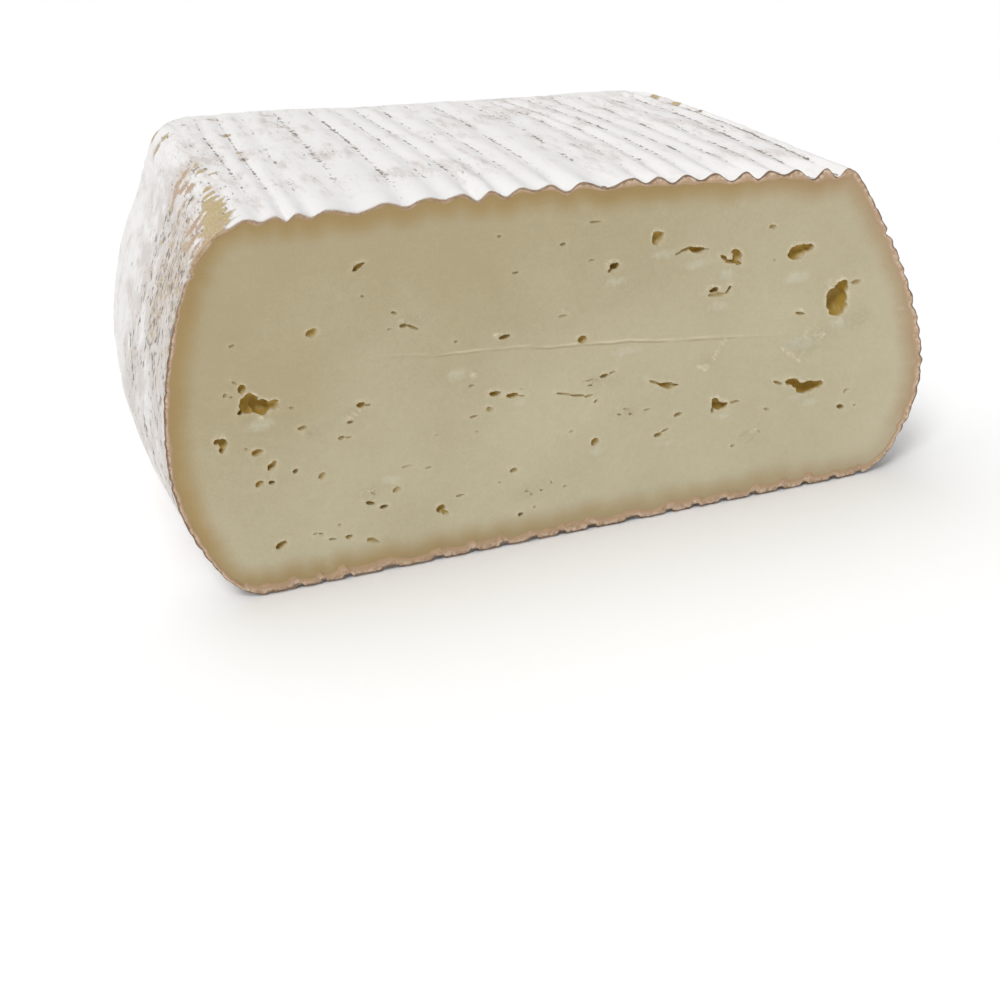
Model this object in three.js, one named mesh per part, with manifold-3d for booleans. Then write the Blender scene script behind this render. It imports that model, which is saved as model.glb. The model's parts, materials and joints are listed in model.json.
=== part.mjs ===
// Half of a square buffalo milk soft cheese, lying on its base with the cut face forward.
// Millimetres, +Z up. X runs along the cut face, Y from the cut face to the back wall.
// The top keeps the ridges of the draining mat, which run front to back.

import * as THREE from 'three';
import { mergeVertices } from 'three/addons/utils/BufferGeometryUtils.js';
import Module from 'manifold-3d';

const { clamp, degToRad, lerp, smoothstep } = THREE.MathUtils;

// Whole block
const WIDTH = 199; // across the belly of the two side walls
const DEPTH = 162; // from the cut face to the belly of the back wall
const HEIGHT_LEFT = 93.5; // ridge tops beside the left edge
const HEIGHT_RIGHT = 83; // the half has slumped a little to the right
const BACK_RISE_LEFT = 2.4; // the top climbs a little towards the back
const BACK_RISE_RIGHT = 0.8;
const CROWN = 2.6; // rise of the top between its edges, which dies out at the back
const CORNER_RADIUS = 20; // upright corners at the back

// Bellied walls, as they are at the cut face and at the back
const BELLY_LEVEL = { cut: 0.38, back: 0.3 }; // widest line, as a share of the height
const BELLY_ABOVE = { cut: 17.6, back: 21.5 }; // how far a wall draws in up to the top edge
const BELLY_BELOW = { cut: 14, back: 3 }; // and down to the base
const BELLY_POWER_ABOVE = 1.8;
const BELLY_POWER_BELOW = 2.1;

// The side walls bow out low down, more and more towards the back
const SIDE_BOW = 4;
const BOW_LEVEL = 24; // height of the widest line of the bow above the base
const BOW_HEIGHT = 20; // and how far it reaches up and down from there

// Under its top edge the left wall is drawn in a little more towards the back
const LEFT_HOLLOW = 2.5;
const HOLLOW_LEVEL = 78;
const HOLLOW_HEIGHT = 13;

// Rounded edges
const EDGE_RADIUS_LEFT = { cut: 12.5, back: 4 };
const EDGE_RADIUS_RIGHT = 3;
const EDGE_RADIUS_BASE = 6;

// Mat marks. The crests are the places of the ridge tops along the top edge of the cut face.
const RIDGE_CRESTS = [
  -79.5, -72.5, -65.5, -60.5, -53.5, -39.5, -29.5, -21.5, -14, -6.5, 0.5,
  9, 22, 28.5, 36, 43.5, 52, 58.5, 65.5, 74, 80.5,
];
const RIDGE_DEPTH_LEFT = 1.2; // the marks are deeper to the right
const RIDGE_DEPTH_RIGHT = 2;
const RIDGE_FULLNESS = 0.7; // below 1 the ridges are fuller than the grooves
const RIDGE_START = 2.5; // the marks grow to their full depth over this many ridges from the left edge
const RIDGE_END = 14; // the marks fade out over this length before the back edge
const RIDGE_LOSS = 0.6; // share of its depth that a mark loses behind the cut face
const RIDGE_WANDER = 0.8; // sideways drift of a ridge on its way to the back
const BASE_GROOVE = 0.8; // shallow marks between the flat lands of the base
const STEPS_ACROSS_RIDGE = 4;

// Unevenness of a soft block
const WALL_WAVE = 1.1;
const BACK_WAVE = 1.3;
const TOP_WAVE = 0.7;

// Facets along the depth and the height
const DEPTH_STEPS = 12;
const HEIGHT_STEPS = 10;

// Eyes in the paste: x, z, width, height and turn of each opening in the cut face
const EYES = [
  [-76, 49.5, 9, 4.5, 4],
  [-79, 54, 2.4, 2.4, 0],
  [-86, 41, 2.8, 3.8, 0],
  [-77.5, 37.5, 2.8, 2.2, 10],
  [-74, 33.5, 2.8, 2.4, 0],
  [-50.5, 45, 3.4, 2, 15],
  [-60.5, 64.5, 3.2, 2.4, 0],
  [-48, 78.5, 3, 2.5, 20],
  [-37.5, 62.5, 6, 2, -12],
  [-34, 13.5, 3, 2.8, 0],
  [-75.5, 12, 3.8, 2.2, 25],
  [-65, 13.5, 6, 1.6, 12],
  [-17.5, 41.5, 3.6, 1.8, 0],
  [-13.5, 55, 3.6, 1.6, 5],
  [6, 51, 2.6, 2, 0],
  [15.5, 69, 3.2, 2.6, 10],
  [27, 74, 4, 4.4, 0],
  [36, 69.5, 7.6, 2.2, -8],
  [47, 66, 6.2, 4, 5],
  [66, 64, 6.6, 3.4, 25],
  [43.5, 58, 7, 3.2, 0],
  [75.5, 50.5, 6.2, 9, -6],
  [27, 35.5, 7, 2.2, -5],
  [64.5, 28.5, 13.5, 4, -4],
  [41.5, 27.5, 5, 4, 10],
  [24.5, 22.5, 4, 2, 20],
  [7.5, 24, 2.6, 2.6, 0],
];
const EYE_SET_BACK = 0.35; // centre of a bubble behind the cut, as a share of its radius
const EYE_LUMPS = 0.12; // unevenness of a bubble's wall
const EYE_DEPTH = 0.75; // depth of a bubble against the mean of its width and height

const HALF_WIDTH = WIDTH / 2;
const HEIGHT = (HEIGHT_LEFT + HEIGHT_RIGHT) / 2;
const RIDGES = RIDGE_CRESTS.length;
const TOP_SHARE = 1 - BELLY_ABOVE.cut / HALF_WIDTH; // width of the top edge against the belly

// Places across the block: the left wall, each crest and the right wall.
const PLACES = [-HALF_WIDTH, ...RIDGE_CRESTS.map((crest) => crest / TOP_SHARE), HALF_WIDTH];

// Place across the block for a count of ridges from the left wall, with a crest at each half.
function placeAcross(ridge) {
  const count = clamp(ridge + 0.5, 0.5, RIDGES + 0.5);
  const before = Math.min(Math.floor(count), RIDGES);
  const start = before === 0 ? 0.5 : before;
  const end = before === RIDGES ? RIDGES + 0.5 : before + 1;
  return lerp(PLACES[before], PLACES[before + 1], (count - start) / (end - start));
}

// Draws the corner of a square in to a quarter circle; both legs start on the straight sides.
function roundOff(first, second) {
  const share = Math.max(first, second) / Math.hypot(first, second);
  return [first * share, second * share];
}

// Rounds the two upright corners at the back.
function roundUprightCorners(point) {
  const across = Math.abs(point.x) - (HALF_WIDTH - CORNER_RADIUS);
  const behind = point.y - (DEPTH - CORNER_RADIUS);
  if (across > 0 && behind > 0) {
    const [nearAcross, nearBehind] = roundOff(across, behind);
    point.x += Math.sign(point.x) * (nearAcross - across);
    point.y += nearBehind - behind;
  }
}

// Distance in from the walls, and the level direction straight out of them.
function fromWall(point) {
  const across = Math.abs(point.x) - (HALF_WIDTH - CORNER_RADIUS);
  const behind = point.y - (DEPTH - CORNER_RADIUS);
  const side = Math.sign(point.x);
  if (across > 0 && behind > 0) {
    const reach = Math.hypot(across, behind);
    const out = new THREE.Vector3((side * across) / reach, behind / reach, 0);
    return { inset: CORNER_RADIUS - reach, out };
  }
  if (across > behind) {
    return { inset: CORNER_RADIUS - across, out: new THREE.Vector3(side, 0, 0) };
  }
  return { inset: CORNER_RADIUS - behind, out: new THREE.Vector3(0, 1, 0) };
}

// Rounds the edge between the walls and the top or the base.
function roundLevelEdges(point) {
  const { inset, out } = fromWall(point);
  const upper = point.z > HEIGHT / 2;
  const rightness = (point.x / HALF_WIDTH + 1) / 2;
  const left = lerp(EDGE_RADIUS_LEFT.cut, EDGE_RADIUS_LEFT.back, point.y / DEPTH);
  const radius = upper ? lerp(left, EDGE_RADIUS_RIGHT, rightness) : EDGE_RADIUS_BASE;
  const outward = radius - inset;
  const upward = upper ? point.z - (HEIGHT - radius) : radius - point.z;
  if (outward > 0 && upward > 0) {
    const [nearOutward, nearUpward] = roundOff(outward, upward);
    point.addScaledVector(out, nearOutward - outward);
    point.z += (upper ? 1 : -1) * (nearUpward - upward);
  }
}

// Draws the walls in above and below the belly.
function bellyWalls(point) {
  const level = point.z / HEIGHT;
  const back = point.y / DEPTH;
  const belly = lerp(BELLY_LEVEL.cut, BELLY_LEVEL.back, back);
  const above = Math.max(level - belly, 0) / (1 - belly);
  const below = Math.max(belly - level, 0) / belly;
  const drawnIn =
    lerp(BELLY_ABOVE.cut, BELLY_ABOVE.back, back) * above ** BELLY_POWER_ABOVE +
    lerp(BELLY_BELOW.cut, BELLY_BELOW.back, back) * below ** BELLY_POWER_BELOW;
  point.x *= 1 - drawnIn / HALF_WIDTH;
  point.y *= 1 - drawnIn / DEPTH;
}

// Slopes and crowns the top, and makes walls and top as uneven as a soft block is.
function slump(point) {
  const { x, y, z } = point;
  const level = z / HEIGHT;
  const back = y / DEPTH;
  const rightness = (x / (HALF_WIDTH - BELLY_ABOVE.cut) + 1) / 2;
  const leftLine = HEIGHT_LEFT + BACK_RISE_LEFT * back;
  const rightLine = HEIGHT_RIGHT + BACK_RISE_RIGHT * back;
  const crown = CROWN * (1 - (x / HALF_WIDTH) ** 2) * (1 - back ** 4);
  const topWave = TOP_WAVE * Math.sin(x / 29 + 1.1) * Math.sin(y / 37 + 0.4);
  const wallWave = WALL_WAVE * Math.sin(y / 27 + 0.8 + x / 80) * Math.cos(z / 24 - 0.6);
  const backWave = BACK_WAVE * Math.sin(x / 31 + 2) * Math.cos(z / 21 + 0.5);
  point.z = level * (lerp(leftLine, rightLine, rightness) + crown + topWave);
  const height = Math.exp(-(((point.z - BOW_LEVEL) / BOW_HEIGHT) ** 2));
  const bow = SIDE_BOW * smoothstep(back, 0, 0.8) * (1 - 0.4 * smoothstep(back, 0.6, 1)) * height;
  const under = Math.exp(-(((point.z - HOLLOW_LEVEL) / HOLLOW_HEIGHT) ** 2));
  const hollow = x < 0 ? LEFT_HOLLOW * smoothstep(back, 0, 0.6) * under : 0;
  point.x += (x / HALF_WIDTH) * (wallWave + bow - hollow);
  point.y += back * backWave;
}

// Presses the mat marks into the top and the base. Ridges are counted from the left edge.
function pressMat(point, ridge, topness, baseness) {
  const { y } = point;
  const depth = lerp(RIDGE_DEPTH_LEFT, RIDGE_DEPTH_RIGHT, ridge / RIDGES);
  const uneven = 1 + 0.25 * Math.sin(ridge * 2.3 + 1) + 0.2 * Math.sin(y / 19 + ridge * 1.7);
  const unevenDepth = depth * uneven * (1 - RIDGE_LOSS * smoothstep(y, 5, 40));
  const fullness = Math.sin(Math.PI * ridge) ** 2;
  const edgeFade = smoothstep(Math.min(ridge / RIDGE_START, RIDGES - ridge), 0, 1);
  const endFade = 1 - smoothstep(y, DEPTH - BELLY_ABOVE.back - RIDGE_END, DEPTH - BELLY_ABOVE.back);
  const groove = unevenDepth * (1 - fullness ** RIDGE_FULLNESS);
  point.z -= topness * edgeFade * endFade * groove;
  const drift = Math.sin(y / 33 + ridge * 0.9) - Math.sin(ridge * 0.9);
  point.x += topness * edgeFade * RIDGE_WANDER * drift;
  point.z += baseness * edgeFade * endFade * BASE_GROOVE * (fullness < 0.2 ? 1 : 0);
}

// The block: a box of facets drawn to the form step by step.
function makeBlock() {
  const acrossSteps = RIDGES * STEPS_ACROSS_RIDGE;
  const geometry = new THREE.BoxGeometry(1, 1, 1, acrossSteps, DEPTH_STEPS, HEIGHT_STEPS);
  const places = geometry.attributes.position;
  const point = new THREE.Vector3();
  for (let i = 0; i < places.count; i += 1) {
    point.fromBufferAttribute(places, i);
    const ridge = (point.x + 0.5) * RIDGES;
    const level = point.z + 0.5;
    const topness = level > 0.999 ? 1 : 0;
    const baseness = level < 0.001 ? 1 : 0;
    point.x = placeAcross(ridge);
    point.y = DEPTH * Math.sin((Math.PI / 2) * clamp(point.y + 0.5, 0, 1));
    point.z = (HEIGHT / 2) * (1 - Math.cos(Math.PI * level));
    roundUprightCorners(point);
    roundLevelEdges(point);
    bellyWalls(point);
    slump(point);
    pressMat(point, ridge, topness, baseness);
    places.setXYZ(i, point.x, point.y, point.z);
  }
  return geometry;
}

// One eye: a lumpy bubble that the cut has opened.
function makeEye([x, z, width, height, turn]) {
  const depth = (EYE_DEPTH * (width + height)) / 2;
  const opening = Math.sqrt(1 - EYE_SET_BACK ** 2);
  const geometry = new THREE.IcosahedronGeometry(1, 1);
  const places = geometry.attributes.position;
  const point = new THREE.Vector3();
  for (let i = 0; i < places.count; i += 1) {
    point.fromBufferAttribute(places, i);
    point.multiplyScalar(1 + EYE_LUMPS * Math.sin(3 * point.x + x) * Math.cos(4 * point.z + z));
    places.setXYZ(i, point.x, point.y, point.z);
  }
  geometry.scale(width / 2 / opening, depth, height / 2 / opening);
  geometry.rotateY(-degToRad(turn));
  geometry.translate(x, depth * EYE_SET_BACK, z);
  return geometry;
}

const wasm = await Module();
wasm.setup();

function toSolid(geometry) {
  geometry.deleteAttribute('normal');
  geometry.deleteAttribute('uv');
  const merged = mergeVertices(geometry);
  const vertProperties = new Float32Array(merged.attributes.position.array);
  const triVerts = new Uint32Array(merged.index.array);
  return new wasm.Manifold(new wasm.Mesh({ numProp: 3, vertProperties, triVerts }));
}

function toGeometry(solid) {
  const { vertProperties, triVerts } = solid.getMesh();
  const geometry = new THREE.BufferGeometry();
  geometry.setAttribute('position', new THREE.BufferAttribute(vertProperties, 3));
  geometry.setIndex(new THREE.BufferAttribute(triVerts, 1));
  geometry.computeVertexNormals();
  return geometry;
}

let solid = toSolid(makeBlock());
for (const eye of EYES) {
  solid = solid.subtract(toSolid(makeEye(eye)));
}

// The origin lies under the middle of the half, at the level of the base.
const geometry = toGeometry(solid);
geometry.computeBoundingBox();
const middle = geometry.boundingBox.getCenter(new THREE.Vector3());
geometry.translate(-middle.x, -middle.y, -geometry.boundingBox.min.z);

const cheese = new THREE.MeshStandardMaterial({ color: '#e6dfcd', roughness: 0.75, metalness: 0 });
const half = new THREE.Mesh(geometry, cheese);
half.name = 'cheese_half';

const part = new THREE.Group();
part.add(half);

export default part;
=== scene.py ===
import json
import math

import bpy
import numpy as np
from bpy.props import FloatProperty, FloatVectorProperty, IntProperty, PointerProperty
from mathutils import Matrix, Vector, noise
from mathutils.kdtree import KDTree

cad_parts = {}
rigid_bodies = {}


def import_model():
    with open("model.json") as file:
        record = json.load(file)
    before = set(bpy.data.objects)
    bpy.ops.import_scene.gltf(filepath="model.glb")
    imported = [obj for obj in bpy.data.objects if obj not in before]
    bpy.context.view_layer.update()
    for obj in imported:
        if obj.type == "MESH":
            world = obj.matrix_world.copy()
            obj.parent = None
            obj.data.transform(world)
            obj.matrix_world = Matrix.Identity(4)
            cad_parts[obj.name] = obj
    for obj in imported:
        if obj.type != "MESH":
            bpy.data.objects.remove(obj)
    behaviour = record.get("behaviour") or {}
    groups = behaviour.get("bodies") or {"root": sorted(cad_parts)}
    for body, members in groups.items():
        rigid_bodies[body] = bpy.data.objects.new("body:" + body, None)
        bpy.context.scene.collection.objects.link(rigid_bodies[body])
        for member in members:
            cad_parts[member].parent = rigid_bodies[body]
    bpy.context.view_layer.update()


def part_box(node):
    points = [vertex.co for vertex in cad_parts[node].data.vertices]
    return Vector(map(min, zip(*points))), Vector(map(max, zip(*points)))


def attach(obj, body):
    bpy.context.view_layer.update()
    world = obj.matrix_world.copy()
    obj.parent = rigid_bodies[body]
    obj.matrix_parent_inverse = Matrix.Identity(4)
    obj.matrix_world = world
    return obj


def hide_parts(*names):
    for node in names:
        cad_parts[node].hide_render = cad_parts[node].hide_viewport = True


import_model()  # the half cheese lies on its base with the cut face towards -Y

bl_info = {
    "name": "Half buffalo milk cheese",
    "version": (1, 0, 0),
    "blender": (4, 5, 0),
    "location": "3D View > Sidebar > Cheese",
    "description": "Builds the bloomy rind and the soft paste of a cut square cheese",
    "category": "Object",
}

MM = 0.001
TINY = 1e-9
CLOSE = 1e-6  # points this close to a plane lie in it
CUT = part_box("cheese_half")[0][1]  # the plane of the cut face

# Ridge tops along the top edge of the cut face, from left to right
RIDGE_CRESTS = MM * np.array([
    -79.5, -72.5, -65.5, -60.5, -53.5, -39.5, -29.5, -21.5, -14, -6.5, 0.5,
    9, 22, 28.5, 36, 43.5, 52, 58.5, 65.5, 74, 80.5,
])
RIDGES = len(RIDGE_CRESTS)

# Eyes in the paste: x, z, width, height and depth of each opening in millimetres, and its turn in
# degrees. A ragged eye is made of several bubbles that run together, and the shallow ones are dents.
EYES = (
    # the large ragged eye at the left and what lies round it
    (-77.7, 49.8, 4.6, 5, 2.6, -20), (-75, 48.6, 4.2, 3.9, 3.4, -8), (-72.1, 48.6, 2.6, 2.6, 1.3, 15),
    (-71.5, 49.4, 1.4, 0.9, 1.2, -20), (-80.3, 48.2, 1.7, 1.2, 1.2, 45), (-79.1, 53.9, 1.9, 2.3, 1, -10),
    (-80.5, 55.6, 1.6, 0.5, 0.3, -35), (-83, 52.9, 1.2, 1.1, 0.4, 0), (-81.8, 52.3, 0.8, 0.6, 0.25, 0),
    # the left side
    (-86.5, 41.8, 1.9, 1.5, 1.5, 0), (-85.4, 41.2, 1.9, 2.8, 1.6, 0), (-85.9, 39.7, 1.7, 1.6, 1, 20),
    (-77.5, 37.4, 2.9, 1.9, 0.9, 0), (-74.6, 33.4, 2.6, 1.6, 1.2, 25), (-74, 34, 1.4, 1.1, 1.2, 20),
    (-78.2, 29.4, 1.9, 1.7, 0.8, 10), (-75.4, 29.3, 1.8, 1.2, 0.9, -20), (-69.2, 30.9, 1.5, 1.2, 0.8, 10),
    (-62.8, 28.4, 2, 1.6, 0.5, 20), (-66, 41.5, 2.3, 1.1, 0.6, 0), (-80.2, 38.8, 1, 0.8, 0.25, -40),
    (-68, 47.1, 1.2, 0.7, 0.3, -30), (-51.2, 44.7, 2.1, 1.5, 0.9, 0), (-49.6, 44.4, 1.5, 0.7, 0.4, 0),
    (-54.4, 40.9, 1.6, 0.9, 0.5, 0), (-56.9, 37.2, 1.7, 1, 0.5, 0), (-55.2, 37, 1.5, 0.7, 0.4, 0),
    (-60.6, 64.6, 3, 2, 0.9, 0), (-47.9, 78.7, 3.2, 1.5, 1, 28), (-47.6, 71.3, 1, 0.6, 0.3, -30),
    (-79.8, 64.6, 1.4, 0.8, 0.35, 0), (-40.5, 66, 1.4, 0.8, 0.4, -30), (-38.6, 62.5, 2, 1.2, 0.7, 0),
    (-36.4, 61.7, 3, 0.8, 0.6, -30), (-42, 62.2, 1, 0.6, 0.25, 0),
    # along the base
    (-75.4, 12.3, 3.4, 1.6, 1, 25), (-66.5, 13.5, 1.2, 0.6, 0.35, 0), (-65, 13.1, 1.3, 0.7, 0.4, -25),
    (-62.4, 11.1, 1.8, 0.7, 0.6, -15), (-60.2, 14.5, 1, 0.9, 0.35, 0), (-58.2, 10.9, 1.8, 1.2, 0.6, -5),
    (-52.7, 8.7, 2.4, 1.6, 0.6, -20), (-51.8, 8.2, 2, 1, 0.5, -20), (-52.1, 18.9, 2.6, 1.2, 0.9, -20),
    (-48.7, 17.2, 2.2, 1.2, 1, 0), (-44.9, 21.1, 2, 1.4, 0.45, 25), (-51, 21.3, 1.4, 0.6, 0.25, -45),
    (-41.8, 26.7, 2.6, 0.8, 0.3, 5), (-36.2, 25.3, 1.8, 0.6, 0.3, 0), (-34.2, 13.6, 2.2, 2.2, 1.1, 0),
    (-33.2, 12.2, 2, 1.3, 0.8, -35), (-28.9, 16.1, 2.2, 0.8, 0.45, 0), (-14.4, 20.2, 2, 1.4, 0.7, 0),
    (-18.4, 17.7, 0.9, 0.5, 0.25, 0), (-11.4, 13.8, 1.3, 0.8, 0.4, -20), (-10.4, 12.7, 0.8, 1, 0.3, 0),
    (-7.7, 13.4, 0.8, 0.6, 0.4, 0), (-4.9, 15, 0.5, 0.9, 0.35, 0), (-1.3, 13.2, 1, 0.8, 0.3, 0),
    (-13.8, 7.9, 1.4, 1.2, 0.9, 0), (-9.9, 9.1, 0.7, 0.7, 0.3, 0), (7.6, 23.7, 2.3, 2.3, 1.3, 0),
    (1.4, 27.9, 1.2, 0.6, 0.35, 15), (24.6, 22.4, 2.2, 1.3, 0.7, 0), (26.6, 23.3, 2.2, 0.7, 0.5, 20),
    (45.3, 15.3, 1.3, 0.9, 0.5, 0), (53, 17.8, 1, 0.6, 0.25, -45),
    # the middle
    (-26.2, 56.5, 0.9, 0.7, 0.35, 0), (-14, 55.5, 3.2, 1.2, 0.9, 0), (1.6, 58.1, 2.2, 0.8, 0.35, 0),
    (6.2, 51.2, 2.5, 1.9, 1, 0), (-23.3, 44.5, 1.4, 0.7, 0.3, 0), (-17.5, 41.2, 3, 1.5, 1.4, -10),
    (-13, 39.9, 3.2, 1.3, 1.3, -8), (-10.9, 39.5, 1.9, 0.6, 0.4, -15), (-10.6, 41.3, 1, 0.5, 0.2, 0),
    (-19.2, 37.5, 2, 1.2, 0.6, -35), (-23.4, 36.4, 2.2, 0.8, 0.45, 5), (-23, 32.3, 1, 0.5, 0.2, 0),
    (-33.4, 33.4, 0.9, 0.6, 0.2, 0), (0.3, 38, 4.4, 0.7, 0.5, -18), (3.8, 37, 3.6, 0.7, 0.5, -10),
    (6.6, 36.4, 2.2, 0.8, 0.45, 4), (11.1, 40.9, 2.2, 1, 0.9, 5), (13.3, 41.4, 1.6, 0.6, 0.4, 12),
    (7.3, 40.4, 4.4, 0.6, 0.3, 2), (7.3, 39.1, 1.1, 0.6, 0.4, 0), (8.4, 34.7, 1.2, 0.8, 0.5, 25),
    (16.3, 31.2, 1.7, 0.6, 0.35, -8), (14.3, 30, 0.9, 0.6, 0.35, 0), (17.4, 29.5, 1.1, 0.7, 0.5, -20),
    (22, 29.9, 2, 0.7, 0.35, 0), (30.3, 27, 2.2, 1.2, 0.6, 5),
    # the upper middle
    (-12.8, 80.4, 1, 0.7, 0.4, 0), (-9.6, 70.9, 1.6, 0.7, 0.45, 0), (2.7, 76.2, 1.5, 0.9, 0.5, 0),
    (11.3, 80.4, 3, 0.7, 0.4, -5), (9.8, 71.1, 1.4, 0.7, 0.3, 0), (15.3, 68.8, 2.7, 2, 1.9, 0),
    (14.4, 67.7, 1.2, 1, 0.8, 30), (27.3, 73.8, 3.1, 3.8, 1.5, -5), (37.8, 69.1, 3.8, 1.7, 1.8, -12),
    (34.9, 69.8, 3.2, 0.9, 0.8, 8), (32.6, 69.1, 1.8, 0.6, 0.4, 20), (40.2, 68.8, 1.4, 1, 0.4, -30),
    # the ragged eyes of the upper right
    (48.3, 65.6, 2.6, 3.2, 2, 0), (47.8, 67.2, 2.4, 1.2, 1, -10), (44.6, 66.2, 2.4, 1.1, 0.9, -40),
    (46.5, 64.8, 3, 1.1, 0.9, -10), (48.4, 64, 2.2, 1, 0.7, -10), (58.4, 71.8, 2, 1.2, 0.7, -15),
    (58.6, 63.2, 1, 0.7, 0.3, 0), (65.1, 64.2, 4.8, 3.7, 2.4, 12), (67.5, 64.9, 4, 2.2, 1.5, 6),
    (41.6, 58.2, 2.8, 1.5, 1.9, 5), (42.6, 56.8, 4.6, 1.2, 0.5, -8), (45.9, 57.9, 1.5, 1, 1.2, 50),
    (45.3, 57, 0.8, 1, 0.6, 30), (75.8, 50, 6.4, 7.6, 3.8, 0), (76.8, 52.2, 3.8, 5.6, 3, -12),
    (75.9, 47.6, 5.4, 4, 2.4, 0), (81.3, 53.8, 2.8, 1.4, 0.5, -5), (65.2, 48.1, 3, 0.8, 0.5, -20),
    # the lower right
    (27.6, 35.5, 4.2, 1.4, 1.3, -12), (24.4, 36.7, 3, 0.8, 0.6, -28), (30.1, 35, 1.8, 0.7, 0.6, -8),
    (28.3, 34.7, 2.4, 0.9, 0.7, -5), (40.6, 28.3, 2.3, 3.2, 2.2, 0), (42.2, 27.3, 3.6, 2.4, 1.8, -8),
    (39.8, 26.3, 1, 1.6, 0.9, 10), (46.2, 27.5, 3, 1, 0.5, 0), (58.2, 30.6, 2.6, 0.9, 0.7, -28),
    (62.1, 30.2, 4, 1.9, 1.4, -10), (63.5, 29.2, 2.4, 1.8, 2, 0), (66.8, 27.7, 6.6, 3.4, 3, -10),
    (70.2, 27.9, 2.6, 2.4, 1.5, 0), (78.2, 24.6, 1.8, 1.1, 0.35, 20), (76.3, 20.5, 2.3, 1.4, 1, -30),
    (55.3, 23.6, 2, 0.9, 0.3, -30), (80.6, 20.1, 0.9, 0.6, 0.25, 0),
)

# Places where the bloom is thin, or gone where the strength is about 1: x, y, z and radius in
# millimetres, strength, and how brown the skin is
WORN_PLACES = (
    # the tan wedge that runs back from the cut at the left edge, and the browner patch beside it
    (-75.3, -39, 92.6, 2.4, 1.2, 0), (-76, -45, 92.4, 3.2, 1.25, 0), (-76.6, -50, 92, 4, 1.25, 0),
    (-76.9, -55, 91.9, 4.6, 1.25, 0), (-77.2, -60, 91.7, 5.2, 1.25, 0), (-77.6, -65, 91.6, 5.8, 1.25, 0.05),
    (-77.8, -70, 91.5, 6, 1.25, 0.1), (-78, -75, 91.4, 6, 1.2, 0.2), (-80.5, -79, 89.8, 5.5, 1.1, 0.5),
    (-81.2, -56, 88.9, 3.2, 1.1, 0.9), (-82.6, -57, 87.6, 3.6, 1.2, 1), (-83.8, -56, 86.4, 3.2, 1.1, 0.9),
    (-81, -63, 89.4, 3.4, 1.1, 0.8), (-83.5, -66, 86.5, 4, 1, 0.8), (-84, -75, 86.5, 4, 0.9, 0.8),
    (-82, -49, 88.4, 3, 0.85, 0.7), (-79.2, -80, 90.8, 4.5, 1.2, 0.2), (-82, -80, 88.5, 4.2, 1.15, 0.5),
    (-84.3, -80, 86, 4, 1.1, 0.7),
    # further back along the left edge
    (-80, -12.5, 89.8, 3.6, 0.95, 0.6), (-77.7, -12, 91.6, 3.2, 1, 0.4), (-79.5, -20, 90.2, 4, 0.95, 0.7),
    (-78.6, -27, 90.7, 3.6, 1, 0.6), (-74.7, -19.6, 93, 3.2, 1, 0), (-72.1, -26.3, 93.9, 2.6, 1, 0),
    (-82, -17, 87.7, 4, 0.9, 0.6), (-83.8, -16, 85.7, 4, 0.9, 0.5), (-82, -32, 87.8, 4, 0.9, 0.6),
    (-85.5, -18, 83.5, 4.5, 0.85, 0.4), (-80, -37, 90, 3, 0.9, 0.5),
    (-80.4, 33, 90.6, 4, 0.95, 0.3), (-77.8, 33, 92.8, 3.4, 1, 0.2), (-76.2, 30.6, 93.8, 2.4, 0.95, 0.2),
    (-80, 46, 93.5, 4, 1, 0.2), (-78, 50, 95, 3.4, 1, 0.2), (-79, 58, 94, 4, 0.95, 0.2),
    (-71.3, 42, 95.4, 2, 0.9, 0.2), (-62.6, 48, 94.8, 2.6, 1, 0.1), (-61.7, 23, 93.9, 2.8, 1, 0.1),
    (-61.6, -2, 93.6, 2.4, 0.9, 0.3), (-61.6, -11, 93.4, 2, 0.9, 0.3), (-46, 48, 93.9, 2.4, 0.95, 0.1),
    (-45.4, 27, 93.5, 2.2, 0.9, 0.2),
    # the left wall
    (-88.5, -15.6, 77.8, 6, 0.8, 0.2), (-88.6, -48, 78.3, 3, 1, 0.6), (-90.3, -45, 74.5, 2.6, 1, 0.6),
    (-91.9, -44, 70.6, 2.5, 1, 0.6), (-93.1, -45, 67.4, 2.2, 1, 0.6), (-94.1, -45.5, 64.3, 2, 0.95, 0.6),
    (-90.1, -62, 76.3, 7, 0.8, 0.5), (-88.1, -69, 81.3, 5, 0.85, 0.6), (-86, -63, 84.4, 4, 0.85, 0.6),
    (-90.5, -78, 77.1, 5, 0.8, 0.5), (-93, -14, 64, 9, 0.68, 0.3), (-96, -60, 55, 9, 0.66, 0.2),
    # the top, the walls out of sight and the base
    (-60, -5, 94, 6, 0.5, 0), (-45, 34, 94, 8, 0.55, 0.2), (75.4, 42.5, 84.3, 5, 0.95, 0),
    (77, 28, 84, 4, 0.95, 0.1), (77.6, 11.4, 84, 3, 0.9, 0.3), (92, 10, 60, 14, 0.7, 0.4),
    (96, -45, 40, 11, 0.6, 0.2), (80, 62, 78, 10, 0.85, 0.3), (20, 78, 40, 16, 0.7, 0.5),
    (-40, 76, 62, 12, 0.75, 0.2), (-80, 60, 30, 12, 0.6, 0.2), (60, 74, 20, 11, 0.75, 0.7),
    (-5, -70, 0, 16, 0.7, 0.5), (40, 30, 0, 22, 0.8, 0.3), (-50, 20, 0, 18, 0.7, 0.6),
)

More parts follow.
